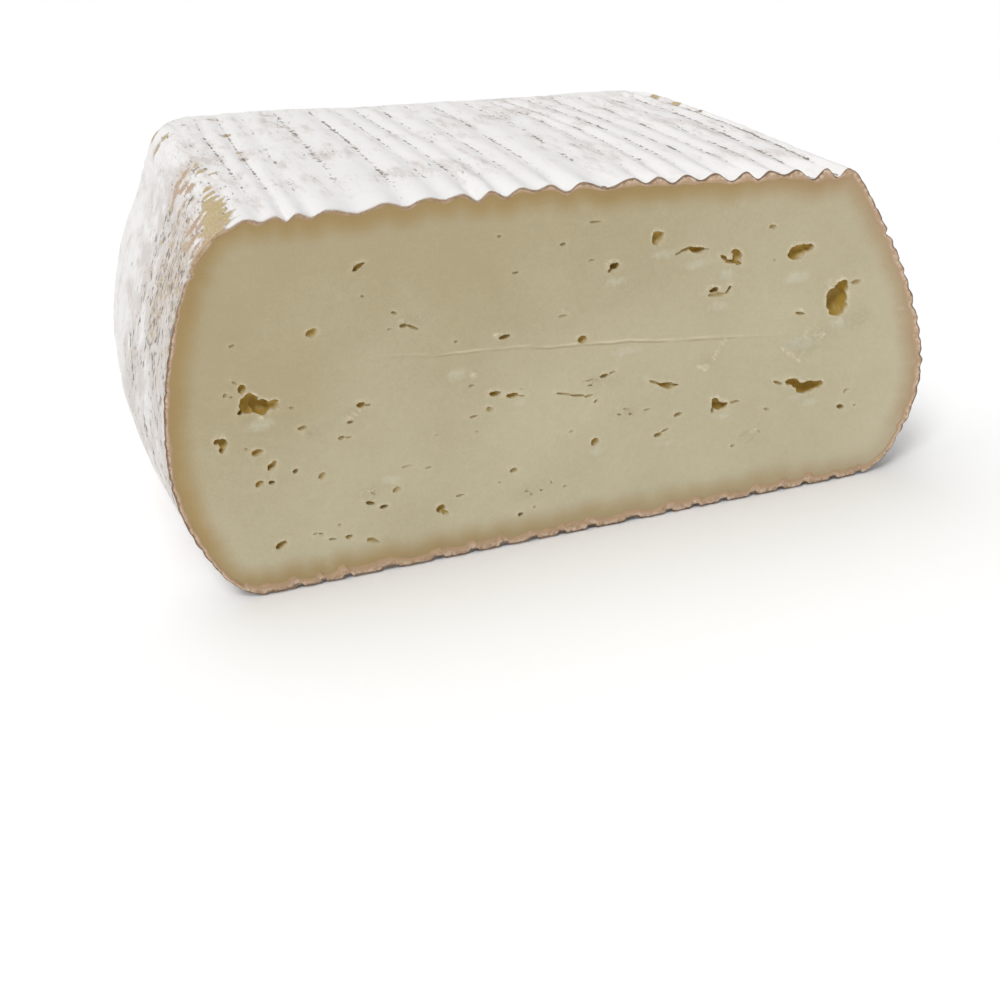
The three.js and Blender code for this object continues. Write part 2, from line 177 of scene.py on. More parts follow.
# Dark pits in the bloom: x, y, z and radius in millimetres
PITS = (
    (-80.6, -37, 89.3, 0.7), (-79.8, -36.3, 90, 0.9), (-79.2, -35.6, 90.5, 0.8), (-78.6, -35, 90.9, 0.6),
    (-77.8, -36.5, 91.4, 0.4), (-77, -37.8, 91.9, 0.4), (-73.2, -57.8, 93.5, 0.6), (14.1, -80.7, 88.6, 0.8),
    (-96.6, -53.3, 57.4, 1), (-96.8, -54.9, 55.6, 0.8), (-97.3, -34, 54.4, 1), (-100.9, -39.8, 37, 1),
    (-101, -42.3, 34.8, 1.2), (-101, -40.9, 32.4, 0.7),
)

# How open the line in each groove is, from the left edge to the right
GROOVE_LINES = (
    0, 0.5, 0.95, 1, 0.85, 0.9, 0.95, 0.9, 1, 0.85, 0.9, 0.95, 0.85, 0.95, 0.9, 1, 0.9, 0.95, 0.9, 1, 1.2,
)
EDGE_LINE = (20.75, 1.3)  # the line beyond the last ridge: ridges from the left edge, and how open it is


def to_linear(hex_colour):
    """Turns an sRGB hex value to a linear colour with alpha."""
    channels = [int(hex_colour[i:i + 2], 16) / 255 for i in (1, 3, 5)]
    return [c / 12.92 if c <= 0.04045 else ((c + 0.055) / 1.055) ** 2.4 for c in channels] + [1]


def length(name, description, millimetres):
    """A length that a user may change."""
    return FloatProperty(
        name=name, description=description, default=millimetres * MM, unit="LENGTH", precision=5)


def paint(name, description, hex_colour):
    """A colour that a user may change."""
    return FloatVectorProperty(
        name=name, description=description, default=to_linear(hex_colour), subtype="COLOR", size=4)


class BlockSizes(bpy.types.PropertyGroup):
    """Sizes of the cut block, which the rind and the paste both follow."""

    width: length("Width", "Across the belly of the two side walls", 199)
    depth: length("Depth", "From the cut face to the belly of the back wall", 162)
    height_left: length("Height left", "Ridge tops beside the left edge", 93.5)
    height_right: length("Height right", "Ridge tops beside the slumped right edge", 83)
    corner_radius: length("Corner radius", "Upright corners at the back", 20)
    ridge_depth_left: length("Ridge depth left", "Depth of the mat marks at the left edge", 1.2)
    ridge_depth_right: length("Ridge depth right", "Depth of the mat marks at the right edge", 2)


class RindSizes(bpy.types.PropertyGroup):
    """Sizes and colours of the bloomy rind."""

    top: length("Top thickness", "Rind under the ridges of the top", 1.1)
    left: length("Left thickness", "Rind of the left wall", 1.5)
    right: length("Right thickness", "Rind of the right wall", 2.2)
    base: length("Base thickness", "Folded rind under the half", 2.4)
    bloom: paint("Bloom", "Dense white mould", "#eeecea")
    thin_bloom: paint("Thin bloom", "Mould that lets the skin show through", "#d4ccc7")
    tan_skin: paint("Tan skin", "Skin without mould", "#b7a273")
    brown_skin: paint("Brown skin", "Older spots of bare skin", "#b6967a")
    speck: paint("Speck", "Fine grey-brown gaps in the mould", "#6b5f54")
    stain: paint("Stain", "Beige tint where the skin sweats through", "#cdbca7")
    groove_line: paint("Groove line", "Broken grey-brown line in the grooves", "#857b70")
    cut_skin: paint("Cut skin", "Pinkish tan edge of the cut rind", "#ead3bb")
    cut_shade: paint("Cut shade", "Duller patches of the cut rind", "#c5a688")
    cut_line: paint("Cut line", "Dark brown line along the outer edge", "#7a624c")
    cut_inside: paint("Cut inside", "Tan inner side of the cut rind", "#c6a683")


class PasteSizes(bpy.types.PropertyGroup):
    """Sizes and colours of the soft paste."""

    grain: IntProperty(
        name="Grain", description="Cuts in each face of the cut side", default=3, min=1, max=5)
    # The paste is painted lit towards the right and the base, and in painted shade towards the upper left,
    # as the light falls on the cut
    lit_ivory: paint("Ivory", "Paste towards the right and the base", "#d8cfb0")
    shaded: paint("Shaded", "Paste towards the upper left", "#c3b591")
    # Smears: partly paste that the knife dragged, partly a painted highlight on the dents under the eyes
    smeared: paint("Smeared paste", "Pale paste that the knife has dragged", "#e0ddca")
    # Torn lips, curls and flakes, painted paler as a highlight where they catch the light
    lip: paint("Lip", "Thin torn edges and curls of paste", "#fff3d6")
    ripe: paint("Ripe paste", "Tan paste under the rind", "#b79b67")
    fresh: paint("Fresh edge", "Pinkish paste under the right wall", "#be9f78")
    # Eye walls: partly the paste's own moist olive-brown, partly painted shade that deepens into the eyes
    hollow: paint("Eye wall", "Moist olive-brown walls of the eyes", "#bf9f4a")
    # The seam's hairline, painted darker as the shade under its step
    seam: paint("Seam", "Hairline between two layers of curd", "#ae9d78")


def smoothstep(value, start, end):
    share = np.clip((value - start) / (end - start), 0, 1)
    return share * share * (3 - 2 * share)


def lerp(start, end, share):
    return start + (end - start) * share


# Form of the block. Every function works on arrays in metres: x across, y back from the cut, z up.
BELLY_LEVEL = (0.38, 0.3)  # widest line as a share of the height, at the cut and at the back
BELLY_ABOVE = (17.6 * MM, 21.5 * MM)  # how far a wall draws in up to the top edge
BELLY_BELOW = (14 * MM, 3 * MM)  # and down to the base
BELLY_POWER_ABOVE = 1.8
BELLY_POWER_BELOW = 2.1
SIDE_BOW = 4 * MM  # the side walls bow out low down, more and more towards the back
BOW_LEVEL = 24 * MM
BOW_HEIGHT = 20 * MM
LEFT_HOLLOW = 2.5 * MM  # under its top edge the left wall is drawn in a little more towards the back
HOLLOW_LEVEL = 78 * MM
HOLLOW_HEIGHT = 13 * MM
MIDDLE = 0.35 * MM  # middle between the bowed walls, where the frame has its origin
EDGE_RADIUS_LEFT = (12.5 * MM, 4 * MM)  # at the cut and at the back
EDGE_RADIUS_RIGHT = 3 * MM
EDGE_RADIUS_BASE = 6 * MM
BACK_RISE_LEFT = 2.4 * MM
BACK_RISE_RIGHT = 0.8 * MM
CROWN = 2.6 * MM
RIDGE_FULLNESS = (0.7, 1.1)  # the ridges are fuller than the grooves at the left, not at the right
RIDGE_START = 2.5  # the marks grow to their full depth over this many ridges from the left edge
RIDGE_LOSS = 0.6  # share of its depth that a mark loses over this stretch behind the cut face
RIDGE_LOSS_REACH = (2 * MM, 24 * MM)
RIDGE_END = 14 * MM  # the marks fade out over this length before the back edge
RIDGE_WANDER = 0.8 * MM
BASE_GROOVE = 0.8 * MM
TOP_WAVE = (0.7 * MM, 29 * MM, 37 * MM)  # height of the unevenness, and its pace across and back
WALL_WAVE = (1.1 * MM, 27 * MM, 24 * MM)  # pace back and up
BACK_WAVE = (1.3 * MM, 31 * MM, 21 * MM)  # pace across and up
FADE_DOWN = 12 * MM  # the mat marks die out this far below the top, inside the block
INSET_REACH = 15 * MM  # points this close to a side give way to the rind

# Small round folds of the side walls, which the cut shows as a scalloped edge: side, height of the
# folds, and the levels of the notches between them in millimetres
FOLDS = (
    (-1, 0.3 * MM, (-5, 5, 8.5, 11, 15, 19, 24, 29.5, 34, 37, 42, 45,
                    48.5, 53, 56, 61, 65, 70, 73, 77, 82.6, 86, 90, 100)),
    (1, 0.75 * MM, (-4, 1.5, 4.6, 8.6, 12, 16.8, 22, 27, 31.2, 36, 40,
                    44.6, 50, 54, 57.6, 61.5, 65.4, 69, 72.6, 76, 80, 90)),
)
FOLD_POWER = 0.7  # under 1 the folds are round and the notches sharp
FOLD_MEAN = 0.7  # taken off, so that the folds don't make the block wider
FOLD_FADE = 0.08  # the folds fade out towards the top and the base

# Deeper notches beside the cut: side, level and depth in millimetres
NICKS = ((-1, 82.6, 0.9), (1, 65.2, 0.6), (1, 44.6, 0.4), (1, 9.4, 0.5))
NICK_HEIGHT = 0.9
NICK_REACH = 10 * MM  # they fade out over this length behind the cut


def middle_height(sizes):
    return (sizes.height_left + sizes.height_right) / 2


def place_across(ridge, half_width):
    """Place across the block for a count of ridges from the left wall."""
    counts = np.concatenate(([0], np.arange(RIDGES) + 0.5, [RIDGES]))
    top_share = 1 - BELLY_ABOVE[0] / half_width
    places = np.concatenate(([-half_width], RIDGE_CRESTS / top_share, [half_width]))
    return np.interp(ridge, counts, places)


def round_off(first, second):
    """Draws the corner of a square in to a quarter circle."""
    share = np.maximum(first, second) / np.maximum(np.hypot(first, second), TINY)
    return first * share, second * share


def round_edges(x, y, z, side, sizes):
    """Rounds the upright corners at the back, and then the edges along the top and the base."""
    half = sizes.width / 2
    depth = sizes.depth
    height = middle_height(sizes)
    corner = sizes.corner_radius
    across = np.abs(x) - (half - corner)
    behind = y - (depth - corner)
    in_corner = (across > 0) & (behind > 0)
    near_across, near_behind = round_off(across, behind)
    x = np.where(in_corner, x + side * (near_across - across), x)
    y = np.where(in_corner, y + near_behind - behind, y)

    across = np.abs(x) - (half - corner)
    behind = y - (depth - corner)
    reach = np.maximum(np.hypot(across, behind), TINY)
    in_corner = (across > 0) & (behind > 0)
    inset = np.where(in_corner, corner - reach, corner - np.maximum(across, behind))
    out_x = np.where(in_corner, side * across / reach, np.where(across > behind, side, 0))
    out_y = np.where(in_corner, behind / reach, np.where(across > behind, 0, 1))
    upper = z > height / 2
    rightness = (x / half + 1) / 2
    left_radius = lerp(*EDGE_RADIUS_LEFT, y / depth)
    radius = np.where(upper, lerp(left_radius, EDGE_RADIUS_RIGHT, rightness), EDGE_RADIUS_BASE)
    outward = radius - inset
    upward = np.where(upper, z - (height - radius), radius - z)
    near_outward, near_upward = round_off(outward, upward)
    on_edge = (outward > 0) & (upward > 0)
    x = np.where(on_edge, x + out_x * (near_outward - outward), x)
    y = np.where(on_edge, y + out_y * (near_outward - outward), y)
    z = np.where(on_edge, z + np.where(upper, 1, -1) * (near_upward - upward), z)
    return x, y, z


def slump(x, y, z, level, sizes):
    """Gives the walls their belly, slopes and crowns the top, and makes both uneven."""
    half = sizes.width / 2
    depth = sizes.depth
    back = y / depth
    belly = lerp(*BELLY_LEVEL, back)
    above = np.maximum(level - belly, 0) / (1 - belly)
    below = np.maximum(belly - level, 0) / belly
    drawn_in = lerp(*BELLY_ABOVE, back) * above ** BELLY_POWER_ABOVE
    drawn_in += lerp(*BELLY_BELOW, back) * below ** BELLY_POWER_BELOW
    x = x * (1 - drawn_in / half)
    y = y * (1 - drawn_in / depth)

    back = y / depth
    rightness = (x / (half - BELLY_ABOVE[0]) + 1) / 2
    left_line = sizes.height_left + BACK_RISE_LEFT * back
    right_line = sizes.height_right + BACK_RISE_RIGHT * back
    crown = CROWN * (1 - (x / half) ** 2) * (1 - back ** 4)
    top_wave = TOP_WAVE[0] * np.sin(x / TOP_WAVE[1] + 1.1) * np.sin(y / TOP_WAVE[2] + 0.4)
    along_wall = y / WALL_WAVE[1] + 0.8 + x / (80 * MM)
    wall_wave = WALL_WAVE[0] * np.sin(along_wall) * np.cos(z / WALL_WAVE[2] - 0.6)
    back_wave = BACK_WAVE[0] * np.sin(x / BACK_WAVE[1] + 2) * np.cos(z / BACK_WAVE[2] + 0.5)
    z = level * (lerp(left_line, right_line, rightness) + crown + top_wave)
    bow = SIDE_BOW * smoothstep(back, 0, 0.8) * (1 - 0.4 * smoothstep(back, 0.6, 1))
    bow *= np.exp(-((z - BOW_LEVEL) / BOW_HEIGHT) ** 2)
    hollow = LEFT_HOLLOW * smoothstep(back, 0, 0.6) * np.exp(-((z - HOLLOW_LEVEL) / HOLLOW_HEIGHT) ** 2)
    x = x + x / half * (wall_wave + bow - (x < 0) * hollow)
    y = y + back * back_wave
    return x, y, z


def press_marks(x, y, z, ridge, topness, baseness, sizes):
    """Presses the marks of the mat in the top and the base, and tells how far down in a groove it is."""
    depth_here = lerp(sizes.ridge_depth_left, sizes.ridge_depth_right, ridge / RIDGES)
    depth_here *= 1 + 0.25 * np.sin(ridge * 2.3 + 1) + 0.2 * np.sin(y / (19 * MM) + ridge * 1.7)
    depth_here *= 1 - RIDGE_LOSS * smoothstep(y, *RIDGE_LOSS_REACH)
    fullness = np.sin(np.pi * ridge) ** 2
    edge_fade = smoothstep(np.minimum(ridge / RIDGE_START, RIDGES - ridge), 0, 1)
    end = sizes.depth - BELLY_ABOVE[1]
    fade = edge_fade * (1 - smoothstep(y, end - RIDGE_END, end))
    z = z - topness * fade * depth_here * (1 - fullness ** lerp(*RIDGE_FULLNESS, ridge / RIDGES))
    drift = np.sin(y / (33 * MM) + ridge * 0.9) - np.sin(ridge * 0.9)
    x = x + topness * edge_fade * RIDGE_WANDER * drift
    z = z + baseness * fade * BASE_GROOVE * (1 - smoothstep(fullness, 0.1, 0.3))
    return x, z, fade * (1 - fullness) * np.maximum(topness, baseness)


def fold_walls(x, y, z, side, level, wallness):
    """Folds the side walls and notches them beside the cut."""
    level_here = z / MM + 1.6 * np.sin(y / (24 * MM))
    for way, fold_height, notches in FOLDS:
        count = np.interp(level_here, notches, np.arange(len(notches)))
        fold = np.abs(np.sin(np.pi * count)) ** FOLD_POWER - FOLD_MEAN
        fold += 0.2 * np.sin(z / (0.5 * MM) + 1.5 * np.sin(z / (5 * MM)) + y / (9 * MM))
        fold *= fold_height * (0.8 + 0.3 * np.sin(1.9 * count))
        fold *= smoothstep(level * (1 - level), 0, FOLD_FADE)
        x = x + (side == way) * side * wallness * fold
    for way, nick_level, nick_depth in NICKS:
        nick = nick_depth * MM * np.exp(-((level_here - nick_level) / NICK_HEIGHT) ** 2)
        x = x - (side == way) * side * wallness * nick * (1 - smoothstep(y, 0, NICK_REACH))
    return x


def form(box, ridge, sizes):
    """Shapes points of the plain box into the bellied, ridged and slumped half."""
    x, y, z = box.T
    half = sizes.width / 2
    height = middle_height(sizes)
    side = np.sign(x)
    topness = smoothstep(z, height - FADE_DOWN, height)
    baseness = 1 - smoothstep(z, 0, FADE_DOWN)
    wallness = smoothstep(np.abs(x), half - INSET_REACH, half)
    x, y, z = round_edges(x, y, z, side, sizes)
    level = z / height
    x, y, z = slump(x, y, z, level, sizes)
    x, z, groove = press_marks(x, y, z, ridge, topness, baseness, sizes)
    x = fold_walls(x, y, z, side, level, wallness)
    return np.stack((x, y + CUT, z), axis=1), groove


# Making and reading meshes
def deselect():
    if bpy.context.object and bpy.context.object.mode != "OBJECT":
        bpy.ops.object.mode_set(mode="OBJECT")
    bpy.ops.object.select_all(action="DESELECT")


def activate(piece):
    deselect()
    piece.select_set(True)
    bpy.context.view_layer.objects.active = piece


def read(parts, name, width=1, kind=np.float32):
    """Reads one property of all vertices, edges, faces or marks."""
    values = np.empty(len(parts) * width, dtype=kind)
    parts.foreach_get(name, values)
    return values if width == 1 else values.reshape(-1, width)


def read_points(mesh, name="position"):
    """Reads the vertex places, or another vector that is kept for each vertex."""
    return read(mesh.attributes[name].data, "vector", 3).astype(float)


def write_points(mesh, points, name="position"):
    layer = mesh.attributes.get(name) or mesh.attributes.new(name, "FLOAT_VECTOR", "POINT")
    layer.data.foreach_set("vector", points.astype(np.float32).ravel())
    mesh.update()


def read_values(mesh, name):
    return read(mesh.attributes[name].data, "value")


def write_values(mesh, **marks):
    """Keeps a value for each vertex, or one for all, under each mark's name."""
    for name, values in marks.items():
        layer = mesh.attributes.get(name) or mesh.attributes.new(name, "FLOAT", "POINT")
        layer.data.foreach_set("value", np.broadcast_to(values, len(mesh.vertices)).astype(np.float32))


def select_parts(piece, kind, chosen):
    """Selects edges or faces by a mask and goes to edit mode."""
    mesh = piece.data
    bpy.context.tool_settings.mesh_select_mode = (False, kind == "edges", kind == "polygons")
    for parts in (mesh.vertices, mesh.edges, mesh.polygons):
        parts.foreach_set("select", np.zeros(len(parts), dtype=bool))
    getattr(mesh, kind).foreach_set("select", chosen)
    bpy.ops.object.mode_set(mode="EDIT")


def edit(piece, kind, chosen, operator, **settings):
    """Runs an edit mode operator on the edges or faces of a mask."""
    select_parts(piece, kind, chosen)
    operator(**settings)
    bpy.ops.object.mode_set(mode="OBJECT")


def lumps(points, size, seed, octaves=3):
    """Smooth noise between about -1 and 1 with lumps of a given size."""
    shift = Vector((seed * 7.3, seed * 3.1, seed * 5.7))
    return np.array([noise.fractal(Vector(p) + shift, 1, 2, octaves) for p in points / size])


def divide_along(block, axis, count):
    """Divides the edges that run along one axis."""
    points = read_points(block.data)
    ends = read(block.data.edges, "vertices", 2, np.int32)
    run = np.abs(points[ends[:, 0]] - points[ends[:, 1]])
    chosen = run[:, axis] > 0.99 * run.sum(axis=1)
    edit(block, "edges", chosen, bpy.ops.mesh.subdivide, number_cuts=count - 1)


def add_block(name, sizes, parts):
    """Adds a cube the size of the plain box and divides it evenly along x, y and z."""
    deselect()
    low = Vector((-sizes.width / 2, 0, 0))
    high = Vector((sizes.width / 2, sizes.depth, middle_height(sizes)))
    bpy.ops.mesh.primitive_cube_add(size=1, location=(low + high) / 2)
    block = bpy.context.object
    block.name = name
    block.data.name = name
    block.scale = high - low
    bpy.ops.object.transform_apply(location=True, rotation=True, scale=True)
    for axis, counts in enumerate(parts):
        for count in counts:
            divide_along(block, axis, count)
    return block


def at_front(mesh, front):
    """Masks of the edges and the faces that lie in the front plane."""
    ends = read(mesh.edges, "vertices", 2, np.int32)
    edges = np.all(read_points(mesh)[ends][:, :, 1] < front + CLOSE, axis=1)
    return edges, read(mesh.polygons, "center", 3)[:, 1] < front + CLOSE


def delete_front(block, front):
    edit(block, "polygons", at_front(block.data, front)[1], bpy.ops.mesh.delete, type="FACE")


# Stations of the box and the thickness of the rind
END_CROWDING_Y = 0.45  # stations lie closer at the cut and at the back
END_CROWDING_Z = 0.5  # and at the top and the base
RIM_STRIPS = (0.1, 0.26, 0.45, 0.64, 0.82, 1)  # rings across the cut rind, outer edge at 0
RIM_CUTS = 2  # more cuts in each edge round the cut face
LIP = 3 * MM  # the inner side of the rind starts as a lip this deep
CORE_START = 9 * MM  # and goes on as a coarse block from here
PASTE_REACH = 0.82  # the paste reaches into the rind, as a share of its thickness

# Rounds of division along x, y and z
RIND_PARTS = ((RIDGES, 8), (56, 2), (84,))
INNER_PARTS = ((RIDGES, 4), (8,), (24,))
PASTE_PARTS = ((RIDGES, 4), (8,), (36,))

# Ripples in the thickness of the rind: strength, pace in millimetres and start of each wave
WALL_RIPPLE = ((1, 1.9, 0), (0.7, 3.3, 2), (0.5, 0.9, 1))
TOP_RIPPLE = ((1, 1.7, 0), (0.6, 0.8, 1))
BASE_RIPPLE = ((1, 5.2, 1), (0.8, 2.3, 0), (0.6, 1.2, 2))


def crowd_ends(share, crowding):
    return share - crowding * np.sin(2 * np.pi * share) / (2 * np.pi)


def place_stations(block, sizes, start=0):
    """Spreads the even stations of a block: x by the ridges, y and z closer at the ends."""
    mesh = block.data
    height = middle_height(sizes)
    points = read_points(mesh)
    ridge = np.clip(points[:, 0] / sizes.width + 0.5, 0, 1) * RIDGES
    x = place_across(ridge, sizes.width / 2)
    y = lerp(start, sizes.depth, crowd_ends(points[:, 1] / sizes.depth, END_CROWDING_Y))
    z = height * crowd_ends(points[:, 2] / height, END_CROWDING_Z)
    write_points(mesh, np.stack((x, y, z), axis=1))
    write_values(mesh, ridge=ridge)


def ripple(place, waves):
    return sum(strength * np.sin(place / (pace * MM) + start) for strength, pace, start in waves)


def draw_inside(box, share, ridge, sizes, rind):
    """Moves points of the box inwards by a share of the rind's thickness."""
    x, y, z = box.T
    half = sizes.width / 2
    height = middle_height(sizes)
    wave = ripple(z, WALL_RIPPLE)
    wall = np.where(x < 0, rind.left * (1 + 0.1 * wave), rind.right * (1 + 0.14 * wave))
    rightness = smoothstep(x, -20 * MM, 60 * MM)
    crest = np.sin(np.pi * ridge) ** 2
    top = rind.top * (1 + 0.12 * ripple(x, TOP_RIPPLE) + rightness * (1.6 * crest - 0.1))
    base = rind.base * (1 + 0.13 * ripple(x, BASE_RIPPLE))
    x = x - np.sign(x) * share * wall * smoothstep(np.abs(x), half - INSET_REACH, half)
    z = z + share * base * (1 - smoothstep(z, 0, INSET_REACH))
    z = z - share * top * smoothstep(z, height - INSET_REACH, height)
    y = y - share * rind.left * smoothstep(y, sizes.depth - INSET_REACH, sizes.depth)
    return np.stack((x, y, z), axis=1)


def draw_in(block, share, sizes, rind):
    """Draws a whole block inside the rind."""
    mesh = block.data
    write_points(mesh, draw_inside(read_points(mesh), share, read_values(mesh, "ridge"), sizes, rind))


def shape(piece, sizes):
    """Gives a piece that is still a box the form of the half."""
    mesh = piece.data
    points, groove = form(read_points(mesh), read_values(mesh, "ridge"), sizes)
    write_points(mesh, points)
    write_values(mesh, groove=groove)


def add_inner_skin(sizes, rind):
    """The inner side of the rind: a coarse block, drawn inside, open at the front and turned inside out."""
    inner = add_block("inner skin", sizes, INNER_PARTS)
    place_stations(inner, sizes, CORE_START)
    draw_in(inner, 1, sizes, rind)
    delete_front(inner, CORE_START)
    mesh = inner.data
    write_values(mesh, across=1, inwards=2, skin=0)
    write_points(mesh, read_points(mesh), "outside")
    edit(inner, "polygons", np.ones(len(mesh.polygons), dtype=bool), bpy.ops.mesh.flip_normals)
    return inner


def move_ring(mesh, strip, back, sizes, rind):
    """Places the ring that was extruded last."""
    points = read_points(mesh)
    chosen = read(mesh.vertices, "select", kind=bool)
    outside = read_points(mesh, "outside")[chosen]
    inside = draw_inside(outside, strip, read_values(mesh, "ridge")[chosen], sizes, rind)
    points[chosen] = inside + (0, back, 0)
    write_points(mesh, points)
    inwards = np.linalg.norm(inside - outside, axis=1) / MM
    for name, value in (("across", strip), ("inwards", inwards), ("skin", 0)):
        values = read_values(mesh, name)
        values[chosen] = value
        write_values(mesh, **{name: values})


def add_rind_box(sizes, rind):
    """The rind as an open-fronted box with a cut rim and an inner skin, still unshaped."""
    outer = add_block("rind", sizes, RIND_PARTS)
    mesh = outer.data
    delete_front(outer, 0)
    edit(outer, "edges", at_front(mesh, 0)[0], bpy.ops.mesh.subdivide, number_cuts=RIM_CUTS)
    place_stations(outer, sizes)
    write_points(mesh, read_points(mesh), "outside")
    write_values(mesh, across=0, inwards=0, skin=1)

    select_parts(outer, "edges", at_front(mesh, 0)[0])
    for strip, back in [(strip, 0) for strip in RIM_STRIPS] + [(1, LIP)]:
        bpy.ops.object.mode_set(mode="EDIT")
        bpy.ops.mesh.extrude_edges_move()
        bpy.ops.object.mode_set(mode="OBJECT")
        move_ring(mesh, strip, back, sizes, rind)

    inner = add_inner_skin(sizes, rind)
    activate(outer)
    inner.select_set(True)
    bpy.ops.object.join()
    bpy.context.tool_settings.mesh_select_mode = (False, True, False)
    bpy.ops.object.mode_set(mode="EDIT")
    bpy.ops.mesh.select_all(action="DESELECT")
    bpy.ops.mesh.select_non_manifold()
    bpy.ops.mesh.bridge_edge_loops()
    bpy.ops.object.mode_set(mode="OBJECT")
    return outer


# The bloom and the cut rim
WEAR = (0.27, 0.3)  # on average, and how much it varies in lumps
WEAR_LEFT = (0.24, 0.46)  # more along the left side, at the back or low down and at the upper front
WEAR_UNSEEN = 0.14  # more on the back wall and the right wall
BLOOM_AT_CUT = 0.75  # share of the wear that the top lacks beside the cut
BLOOM_AT_BACK = 0.8  # and the left wall towards the back
LINE_NARROWNESS = 4.5  # the line in a groove takes up two parts of this many in a ridge's width
LINE_LOSS = 0.45  # share that the lines lose beside the cut, except at the right
BLOOM_LUMPS = ((0.22, 9 * MM, 1), (0.12, 2.6 * MM, 2))  # height in millimetres, size and seed
BLOOM_WORN_OFF = 0.12  # height that worn bloom lacks, in millimetres
RIM_PROUD = 0.14  # how far the middle of the cut rind stands out, in millimetres
RIM_SUNK = 0.08  # and how far its inner edge sinks


def wear_bloom(mesh, points, normals, behind, sizes):
    """Marks how worn the bloom is and how brown the skin under it, and returns the wear.

    The bloom is thinnest along the left edge towards the cut, and whole on the top beside the cut.
    """
    across_top = points[:, 0] / (sizes.width / 2)
    on_top = smoothstep(normals[:, 2], 0.5, 0.9)
    upper_front = smoothstep(points[:, 2], 40 * MM, 78 * MM) * (1 - smoothstep(behind, 55 * MM, 105 * MM))
    worn = WEAR[0] + WEAR[1] * lumps(points, 22 * MM, 8)
    worn += smoothstep(-across_top, 0.6, 0.85) * lerp(*WEAR_LEFT, upper_front)
    worn *= 1 - BLOOM_AT_CUT * (1 - smoothstep(behind, 6 * MM, 24 * MM)) * on_top
    worn *= 1 - BLOOM_AT_BACK * smoothstep(behind, 60 * MM, 120 * MM) * smoothstep(-normals[:, 0], 0.4, 0.8)
    worn += WEAR_UNSEEN * (1 - on_top) * smoothstep(normals[:, 0], -0.3, 0.1)
    worn = np.clip(worn, 0, 0.8)
    browned = 0.25 + 0.4 * lumps(points, 15 * MM, 12)
    ragged = 1 + 0.5 * lumps(points, 5 * MM, 13)
    for x, y, z, radius, strength, brown in WORN_PLACES:
        away = (points - np.array((x, y, z)) * MM) * (1, 1, 0.7)
        distance = np.linalg.norm(away, axis=1) * ragged
        inside = 1 - smoothstep(distance, 0.35 * radius * MM, radius * MM)
        browned = np.where(strength * inside > worn, brown, browned)
        worn = np.maximum(worn, strength * inside)
    write_values(mesh, worn=worn, browned=browned)
    return worn


def mark_lines(mesh, points, normals, behind, sizes):
    """Marks the line along the bottom of each groove and how dark the line round the cut is."""
    ridge = read_values(mesh, "ridge")
    row = np.clip(np.round(ridge).astype(int), 0, RIDGES - 1)
    in_groove = np.clip(1 - LINE_NARROWNESS * np.abs(ridge - row), 0, 1) * np.array(GROOVE_LINES)[row]
    edge_row, edge_strength = EDGE_LINE
    at_edge = np.clip(1 - LINE_NARROWNESS * np.abs(ridge - edge_row), 0, 1) * edge_strength
    groove = read_values(mesh, "groove")
    line = in_groove * smoothstep(groove, 0.3, 0.6) * smoothstep(normals[:, 2], 0.4, 0.7)
    line = np.maximum(line, at_edge * smoothstep(points[:, 2], 60 * MM, 70 * MM))
    front = 1 - smoothstep(behind, 8 * MM, 34 * MM)
    across_top = points[:, 0] / (sizes.width / 2)
    line *= 1 - LINE_LOSS * front * (1 - smoothstep(across_top, 0.35, 0.75))

    # The line round the cut is dark at the right and at the base, and faint along the top at the left
    top_outline = lerp(0.35, 0.9, smoothstep(points[:, 0], -70 * MM, 70 * MM))
    wall_outline = np.where(points[:, 0] < 0, 0.8, 1)
    outline = lerp(wall_outline, top_outline, smoothstep(points[:, 2], 68 * MM, 82 * MM))
    sideways = 1 - smoothstep(np.abs(normals[:, 2]), 0.45, 0.8)
    write_values(mesh, sideways=sideways, line=line, outline=outline)


def roughen_rind(piece, sizes):
    """Bloom lumps on the skin, worn places, lines, and the crinkled cut rim."""
    mesh = piece.data
    points = read_points(mesh)
    normals = read(mesh.vertices, "normal", 3).astype(float)
    skin = read_values(mesh, "skin") > 0.5
    across = read_values(mesh, "across")
    behind = points[:, 1] - CUT
    worn = wear_bloom(mesh, points, normals, behind, sizes)
    mark_lines(mesh, points, normals, behind, sizes)

    outer = np.flatnonzero(skin)
    places = points[outer]
    height = sum(high * lumps(places, size, seed) for high, size, seed in BLOOM_LUMPS)
    streak = lumps(places * (1, 0.35, 0.35), 1.6 * MM, 3, 2)
    height -= BLOOM_WORN_OFF * worn[outer] * (1 + streak)
    height *= smoothstep(behind[outer], 0, 2.5 * MM)
    points[outer] += normals[outer] * (height * MM)[:, None]

    rim = np.flatnonzero(~skin & (behind < 0.5 * MM))
    arch = np.sin(np.pi * np.clip(across[rim], 0, 1))
    crinkle = lumps(points[rim], 1.5 * MM, 4, 2)
    low = 1 - smoothstep(points[rim, 2], 4 * MM, 9 * MM)
    base_folds = low * (0.25 + 0.5 * lumps(points[rim], 2.2 * MM, 5, 2))
    proud = arch * (RIM_PROUD + 0.12 * crinkle + base_folds)
    sunk = smoothstep(across[rim], 0.85, 1) * RIM_SUNK
    points[rim, 1] -= (proud - sunk) * MM
    points[:, 2] = np.maximum(points[:, 2], 0)
    write_points(mesh, points)


